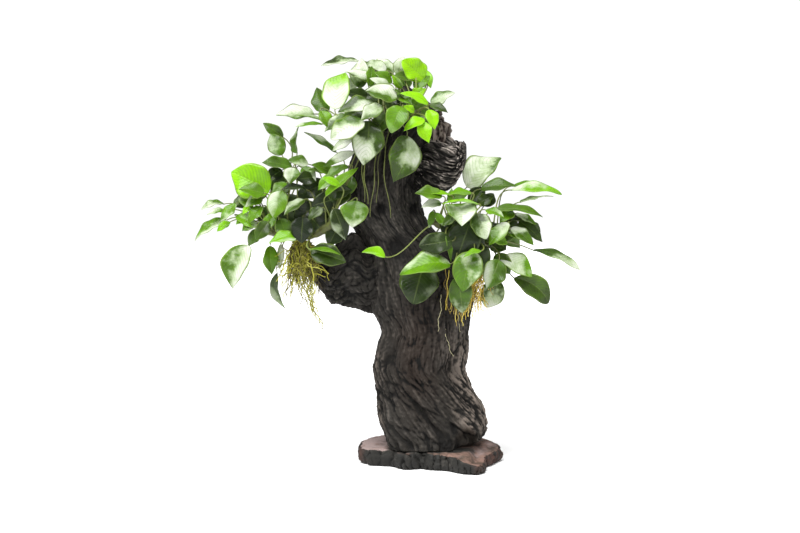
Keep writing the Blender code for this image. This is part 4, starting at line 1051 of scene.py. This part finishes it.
def leafSurface():
    # Green by the tone, partly painted light, with veins, a pale margin of painted backlight, whitish
    # painted glare that stands in for the light's reflection, and light that shines through
    made, tree, shader = startMaterial("anubiasLeaf")
    where = objectPlace(tree)
    tone, frost, below = attribute(tree, "tone"), attribute(tree, "frost"), attribute(tree, "below")
    place = put(tree, "SeparateXYZ", {0: put(tree, "UVMap", uv_map="surfaceUv").outputs[0]})
    across = scaled(tree, place.outputs[0], 2.0, -1.0)
    along = scaled(tree, place.outputs[1], 2.0, -1.0)
    offset = reckon(tree, "ABSOLUTE", across)
    mottle = patches(tree, where, 95, 5, 0.6)
    cloud = patches(tree, where, 30, 3, 0.5)
    # Veins: sine of 2 pi times (count t - bend s^1.3), its crests only
    count, bend = leafLook["veins"]
    bent = times(tree, reckon(tree, "POWER", offset, 1.3), bend)
    phase = reckon(tree, "SUBTRACT", times(tree, place.outputs[1], count), bent)
    quilt = reckon(tree, "SINE", times(tree, phase, 2 * math.pi))
    veins = times(tree, spanned(tree, quilt, 0.6, 1.0), spanned(tree, offset, 0.98, 0.6))
    midrib = spanned(tree, offset, 0.07, 0.015)
    # Shade: the tone, moved by fine and wide patches, and a little darker along the veins and lighter
    # between them, as painted shade of the swell between the veins
    shade = plus(tree, tone, scaled(tree, mottle, 0.4, -0.2))
    shade = plus(tree, shade, scaled(tree, cloud, 0.56, -0.28))
    shade = plus(tree, shade, times(tree, quilt, -0.035))
    green = rampOf(tree, shade, leafLook["greens"])
    ruddy = spanned(tree, attribute(tree, "luck"), 0.5, 1.0, 0.0, 0.35)
    green = blendColour(tree, ruddy, green, leafLook["ruddy"], "MULTIPLY")
    paleVein = blendColour(tree, 0.3, green, leafLook["paleVein"])
    marked = reckon(tree, "MAXIMUM", times(tree, veins, 0.12), times(tree, midrib, 0.45))
    green = blendColour(tree, marked, green, paleVein)
    # Painted glare, whitish patches for the light's reflection: noise plus a slope across the blade, its
    # way set by chance unless the table gives it, and none along the margin
    turned = times(tree, attribute(tree, "bloomWay"), 2 * math.pi)
    slope = times(tree, across, reckon(tree, "COSINE", turned))
    slope = plus(tree, slope, times(tree, along, reckon(tree, "SINE", turned)))
    bloom = plus(tree, patches(tree, where, 44, 4, 0.5), scaled(tree, mottle, 0.5, -0.25))
    bloom = plus(tree, bloom, times(tree, slope, 0.24))
    bloom = plus(tree, bloom, scaled(tree, frost, 0.4, -0.25))
    paintedGlare = times(tree, spanned(tree, bloom, 0.4, 0.56), spanned(tree, frost, 0.0, 0.5))
    paintedGlare = times(tree, paintedGlare, spanned(tree, offset, 1.0, 0.8))
    white = blendColour(tree, spanned(tree, bloom, 0.5, 0.75), *leafLook["paintedGlare"])
    green = blendColour(tree, times(tree, paintedGlare, 0.9), green, white)
    veinsInGlare = times(tree, times(tree, veins, paintedGlare), 0.4)
    green = blendColour(tree, veinsInGlare, green, leafLook["veinInGlare"])
    green = blendColour(tree, times(tree, below, 0.25), green, leafLook["underside"])
    # Pale margin, painted backlight on the thin edge, more on lighter leaves
    rim = times(tree, spanned(tree, offset, 0.84, 0.98), spanned(tree, tone, 0.1, 0.5, 0.1, 0.42))
    green = blendColour(tree, rim, green, leafLook["margin"])
    gloss = plus(tree, scaled(tree, mottle, 0.3, 0.16), times(tree, below, 0.15))
    relief = plus(tree, times(tree, veins, -0.5), times(tree, midrib, -0.8))
    relief = plus(tree, relief, times(tree, mottle, 0.6))
    dress(tree, shader, green, gloss, 0.3, relief, 0.55, 0.0007)
    for name, value in leafLook["coat"].items():
        shader.inputs[name].default_value = value
    glow = put(tree, "BsdfTranslucent", {0: blendColour(tree, 0.35, green, leafLook["glow"])})
    sockets = {0: leafLook["seeThrough"], 1: shader.outputs[0], 2: glow.outputs[0]}
    both = put(tree, "MixShader", sockets)
    tree.links.new(both.outputs[0], tree.nodes["Material Output"].inputs[0])
    return made


def growthSurface(name, colours, scale, roughness=0.5):
    # Stalks, stems and roots: dark, light and pale by the strand's tint and by patches along the fibre
    made, tree, shader = startMaterial(name)
    dark, light, pale = colours
    spots = patches(tree, objectPlace(tree), scale, 5, 0.6)
    share = plus(tree, scaled(tree, spots, 0.8, -0.4), times(tree, attribute(tree, "tint"), 0.66))
    colour = rampOf(tree, share, [(0.05, dark), (0.66, light), (1.0, pale)])
    rough = spanned(tree, spots, 0.3, 0.7, roughness - 0.12, roughness + 0.12)
    dress(tree, shader, colour, rough, 0.5, spots, 0.4, 0.0006)
    return made


def creepingStem(points, seed):
    # A tube along the curve; its radius swells by a sine for the leaf scars, and noise moves the points
    chance = np.random.default_rng(seed)
    u = np.linspace(0, 1, stemShape["rows"])
    path = smoothPath(points, u)
    swell, scars = stemShape["scars"]
    radii = stemShape["radius"] * (1 + swell * np.sin(2 * np.pi * (scars * u + chance.uniform())))
    radii = radii * np.clip(np.minimum(0.75 + 6 * u, 0.75 + 6 * (1 - u)), 0, 1)
    block = tubesAlong(path[None], radii, stemShape["sides"], tint=0.25)[0]
    far, size = stemShape["lumps"]
    wobble = far * np.stack([grainNoise(block["points"] / size, seed + i) for i in range(3)], -1)
    block["points"] = block["points"] + wobble
    return block


# Roots: the hanging ones of the top plant, thin ones that cling to the trunk, and the two tangles
hanging = {
    "roots": [
        (0.12, (-38, 296, 41), (-35, 258, 41)), (0.2, (-36, 294, 43), (-32, 256, 42)),
        (0.36, (-25, 290, 41), (-30, 243, 42)), (0.46, (-21, 300, 42), (-23, 257, 42)),
        (0.54, (-16, 296, 43), (-9, 242, 42)),
    ],
    "thick": (0.75, 0.35),
    "sway": (0.7, 2.3),  # how far and how often each sways to the sides
}
clinging = {
    # Places down the trunk, (x, z): each root follows the bark's surface
    "roots": [
        [(8, 170), (8, 158), (6, 146), (5, 134)], [(12, 136), (14, 126), (17, 116), (20, 108)],
        [(24, 190), (27, 165), (25, 148), (28, 132)], [(29, 176), (30, 158), (29, 138)],
    ],
    "thick": (0.28, 0.18),
    "sway": [(0.6, 2), (0.25, 6)],
    "lift": 0.5,  # off the bark
}
tangles = {
    "leftTangle": {
        "node": "left_root_tuft",
        "rows": [
            (219, -106, -92, 30, 20), (211, -114, -84, 36, 14), (200, -116, -80, 40, 12),
            (189, -114, -80, 41, 12), (175, -107, -82, 39, 14), (162, -100, -84, 36, 16),
            (148, -95, -84, 32, 18), (130, -79, -75, 26, 20),
        ],
        "count": 260, "curl": 5.2, "thick": (0.5, 0.36), "seed": 5, "long": 0.03, "most": 0.56,
        "strays": 190, "strayLevel": (0.02, 0.46), "strayLong": (9, 24), "strayWay": (-92, 52),
        # Long strands below it, on the front view: (up, across, near)
        "tails": [
            [(182, -100, 26), (168, -95, 26), (152, -87, 25), (138, -79, 23), (131, -76, 22)],
            [(180, -93, 27), (164, -90, 27), (150, -85, 26), (136, -78, 23)],
            [(184, -88, 28), (170, -88, 28), (156, -86, 26), (142, -81, 24), (133, -77, 22)],
            [(178, -97, 24), (162, -90, 24), (148, -83, 23)],
            [(176, -88, 27), (160, -88, 26), (146, -85, 25)],
            [(178, -94, 30), (158, -90, 29), (144, -85, 27)],
            [(186, -86, 28), (176, -82, 29), (166, -78, 29)],
        ],
        "colours": [(0.05, 0.036, 0.01), (0.42, 0.41, 0.035), (0.62, 0.61, 0.18)],
    },
    "rightTangle": {
        "node": "right_root_tuft",
        "rows": [
            (209, 72, 80, 27, 19), (203, 66, 84, 32, 14), (190, 58, 86, 38, 14), (175, 51, 86, 46, 20),
            (160, 48, 82, 50, 26), (146, 50, 73, 49, 32), (130, 52, 64, 46, 36), (108, 54, 57, 43, 39),
        ],
        "count": 230, "curl": 3.4, "thick": (0.42, 0.3), "seed": 9, "long": 0.0, "most": 0.56,
        "strays": 200, "strayLevel": (0.05, 0.58), "strayLong": (8, 18), "strayWay": (-95, 25),
        "tails": [
            [(158, 58, 44), (146, 57, 44), (134, 57, 43)], [(156, 66, 42), (144, 63, 43), (134, 62, 43)],
            [(194, 46, 51), (178, 45, 49), (162, 47, 47), (146, 49, 46)],
            [(190, 49, 50), (176, 48, 49), (160, 46, 47), (150, 47, 46)],
        ],
        "colours": [(0.2, 0.13, 0.015), (0.78, 0.6, 0.07), (0.62, 0.58, 0.34)],
    },
}


def curled(spot, count, chance, progress, waves):
    # Adds sines, (times, height), to each of the three measures; every strand has its own pace, start
    # and share of the height. Then it places the points
    for i in range(3):
        for often, high in waves:
            turns = chance.uniform(0.6, 1.3, (count, 1)) * often * progress
            turns = turns + chance.uniform(0, 1, (count, 1))
            spot[i] = spot[i] + high * chance.uniform(0.4, 1, (count, 1)) * np.sin(2 * np.pi * turns)
    return placed(np.stack(spot, -1))


def tangleStrands(made):
    # Each strand keeps a share of the tangle's width and turns slowly round it as it goes down, with
    # its curl on it; it ends at its own level
    chance = np.random.default_rng(made["seed"])
    count, steps = made["count"], 30
    rows = np.asarray(made["rows"], float)
    reach = np.where(
        chance.uniform(0, 1, (count, 1)) < made["long"],
        chance.uniform(0.7, 1.0, (count, 1)),
        chance.uniform(0.25, made["most"], (count, 1)),
    )
    level = np.linspace(0, 1, steps)[None] * reach * (len(rows) - 1)
    up, left, right, nearest, farthest = np.moveaxis(smoothPath(rows, level / (len(rows) - 1)), -1, 0)
    angle = chance.uniform(0, 2 * np.pi, (count, 1)) + chance.normal(0, 1.3, (count, 1)) * level / len(rows)
    share = np.sqrt(chance.uniform(0, 0.85, (count, 1))) * (0.85 + 0.15 * np.sin(level + angle))
    across = between(left, right, share * np.cos(angle))
    near = between(farthest, nearest, share * np.sin(angle))
    free = np.minimum(1, np.linspace(0, 1, steps) * 5)[None]
    waves = [(k, free * made["curl"] / k) for k in (1.5, 3.1, 5.3)]
    return curled([across, up, near], count, chance, 2 * level / len(rows), waves), chance


def strayStrands(made, chance, steps=30):
    # From a place inside the tangle on at an angle on the front view, sinking a little, with its curl
    count = made["strays"]
    u = np.linspace(0, 1, steps)[None]
    level = chance.uniform(*made["strayLevel"], count)
    up, left, right, nearest, farthest = smoothPath(made["rows"], level).T[:, :, None]
    across = between(left, right, chance.uniform(-0.8, 0.8, (count, 1)))
    near = between(farthest, nearest, chance.uniform(-0.7, 0.9, (count, 1)))
    way = np.radians(chance.normal(*made["strayWay"], (count, 1)))
    far = chance.uniform(*made["strayLong"], (count, 1))
    across = across + far * u * np.cos(way)
    up = up + far * u * np.sin(way) - 0.02 * far * far * u**2
    waves = [(k, 0.45 * made["curl"] / (k + 0.6)) for k in (0.6, 1.4, 2.9)]
    return curled([across, up, near + 0 * u], count, chance, u, waves)


def tailStrands(made, chance, steps=30):
    # Along each tail's curve, with small sines of its own across and in depth
    u = np.linspace(0, 1, steps)
    paths = []
    for line in made["tails"]:
        up, across, near = smoothPath(line, u).T
        turns = 2 * np.pi * (np.outer(chance.uniform(1, 3, 4), u) + chance.uniform(0, 1, (4, 1)))
        across = across + np.minimum(1, 4 * u) * (0.9 * np.sin(turns[0]) + 0.5 * np.sin(2 * turns[1]))
        near = near + 0.8 * np.sin(turns[2])
        paths.append(placed(np.stack([across, up, near], -1)))
    return np.array(paths)


def makeTangles(trunkRings):
    for name, made in tangles.items():
        paths, chance = tangleStrands(made)
        paths = np.concatenate([paths, strayStrands(made, chance), tailStrands(made, chance)])
        thick = np.linspace(*made["thick"], paths.shape[1])
        thick = thick * chance.uniform(0.7, 1.2, (len(paths), 1))
        blocks = tubesAlong(paths, thick, 5, tint=chance.uniform(0, 1.2, len(paths)))
        if name == "rightTangle":
            lines = clingingRoots(trunkRings)
            thick = np.linspace(*clinging["thick"], lines.shape[1])
            blocks += tubesAlong(lines, thick, 5, tint=chance.uniform(1.6, 1.9, len(lines)))
        surface = growthSurface(name + "Fibre", made["colours"], 120, 0.6)
        addPiece(name, blocks, surface, [made["node"]])


def trunkFront(rings, x, z):
    # How near the bark's front comes at each (x, z): the ring of that height, its front point nearest x
    row = np.clip(np.searchsorted(rings[:, 0, 2], z), 0, len(rings) - 1)
    ring = rings[row]
    apart = np.abs(ring[..., 0] - x[:, None]) + 99 * (ring[..., 1] > 0)
    return np.take_along_axis(ring[..., 1], apart.argmin(1)[:, None], 1)[:, 0]


def clingingRoots(rings):
    # Along each line, with a slow and a fast sine across, just off the smoothed bark
    u = np.linspace(0, 1, 40)
    paths = []
    for seed, line in enumerate(clinging["roots"]):
        x, z = smoothPath(line, u).T
        chance = np.random.default_rng(70 + seed)
        for far, often in clinging["sway"]:
            x = x + far * np.sin(2 * np.pi * (often * u + chance.uniform()))
        y = trunkFront(rings, x, z)
        y = np.convolve(np.pad(y, 2, "edge"), np.full(5, 0.2), "valid")
        paths.append(np.stack([x, y - clinging["lift"], z], -1))
    return np.array(paths)


def hangingRoots(stem, chance):
    # Through a place on the creeping stem and two below it, with a sine of its own across
    u = np.linspace(0, 1, 24)
    far, often = hanging["sway"]
    lines = []
    for start, middle, tip in hanging["roots"]:
        ends = np.array([smoothPath(stem, [start])[0], placed(middle), placed(tip)])
        sway = far * np.sin(2 * np.pi * (often * u + chance.uniform())) * np.minimum(1, 4 * u)
        lines.append(smoothPath(ends, u) + np.outer(sway, (1, 0, 0)))
    thick = np.linspace(*hanging["thick"], len(u))
    return tubesAlong(np.array(lines), thick, 6, tint=chance.uniform(0.2, 0.55, len(lines)))


def makePlant(plant, made, leafGreen, stalkGreen):
    stem = placed(made["stem"])
    every = made["leaves"] + made["smallLeaves"]
    for i, row in enumerate(made["leaves"], 1):
        blade = leafBlade(row, 100 + i, made["bloomWay"].get(i))
        addPiece(f"{plant}Leaf{i:02d}", [blade], leafGreen, [f"{plant}_leaf_{i:02d}"])
    small = [leafBlade(row, 200 + i) for i, row in enumerate(made["smallLeaves"])]
    addPiece(plant + "SmallLeaves", small, leafGreen)
    paths = np.array([stalkPath(row, stem, rank) for rank, row in enumerate(every)])
    tones = np.array([row[4] for row in every])
    chance = np.random.default_rng(len(every))
    thick = np.linspace(*stalkShape["thick"], stalkShape["steps"])
    thick = thick * chance.uniform(0.85, 1.1, (len(every), 1))
    # Each stalk's tint follows its leaf's tone, so it carries the same painted light
    blocks = tubesAlong(paths, thick, stalkShape["sides"], tint=tones * 0.6 + 0.3)
    blocks.append(creepingStem(stem, 30 + len(every)))
    if plant == "top":
        blocks += hangingRoots(stem, chance)
    addPiece(plant + "Growth", blocks, stalkGreen, [plant + "_stem"])


# Floor, lights and camera
studio = {
    "floorHalf": 6.0,
    "floorDrop": 0.0003,
    "floorColour": (0.97, 0.97, 0.97),
    "skySeen": 1.05,
    "skyLight": 0.5,
    "topLight": {"from": (-0.25, -0.5, 1.0), "spread": 50, "strength": 5.5},
}


def makeStudio():
    half, low = studio["floorHalf"], -studio["floorDrop"]
    mesh = bpy.data.meshes.new("studioFloor")
    corners = [(-half, -half, low), (half, -half, low), (half, half, low), (-half, half, low)]
    mesh.from_pydata(corners, [], [(0, 1, 2, 3)])
    floor = bpy.data.objects.new("studioFloor", mesh)
    bpy.context.scene.collection.objects.link(floor)
    made, _, shader = startMaterial("paleFloor")
    shader.inputs["Base Color"].default_value = (*studio["floorColour"], 1)
    shader.inputs["Roughness"].default_value = 0.9
    mesh.materials.append(made)
    world = bpy.data.worlds.new("paleRoom")
    world.use_nodes = True
    sky = world.node_tree
    plain = sky.nodes["Background"]
    seen = put(sky, "Background", {0: (1, 1, 1, 1), 1: studio["skySeen"]})
    plain.inputs[0].default_value = (1, 1, 1, 1)
    plain.inputs[1].default_value = studio["skyLight"]
    straight = put(sky, "LightPath").outputs["Is Camera Ray"]
    both = put(sky, "MixShader", {0: straight, 1: plain.outputs[0], 2: seen.outputs[0]})
    sky.links.new(both.outputs[0], sky.nodes["World Output"].inputs[0])
    bpy.context.scene.world = world
    facts = studio["topLight"]
    lamp = bpy.data.lights.new("topLight", "SUN")
    lamp.angle = math.radians(facts["spread"])
    lamp.energy = facts["strength"]
    light = bpy.data.objects.new("topLight", lamp)
    light.rotation_euler = Vector(facts["from"]).to_track_quat("Z", "Y").to_euler()
    light.location = Vector(facts["from"])
    bpy.context.scene.collection.objects.link(light)
    bpy.context.scene.view_settings.view_transform = "Standard"
    lens = bpy.data.cameras.new("frontCamera")
    lens.lens = view["lens"]
    lens.sensor_width = view["sensor"]
    camera = bpy.data.objects.new("frontCamera", lens)
    camera.location = np.array(view["eye"]) * mm
    camera.rotation_euler = (math.radians(90 - view["pitchDown"]), 0, 0)
    bpy.context.scene.collection.objects.link(camera)
    bpy.context.scene.camera = camera


makeStudio()
print("studio ready")
makeSlab()
print("slab ready")
trunkRings = makeWood()
print("driftwood ready")
leafGreen = leafSurface()
stalkGreen = growthSurface("stalkGreen", stemShape["colours"], 140)
for plant, made in plants.items():
    makePlant(plant, made, leafGreen, stalkGreen)
    print(plant, "plant ready")
makeTangles(trunkRings)
print("root tangles ready")
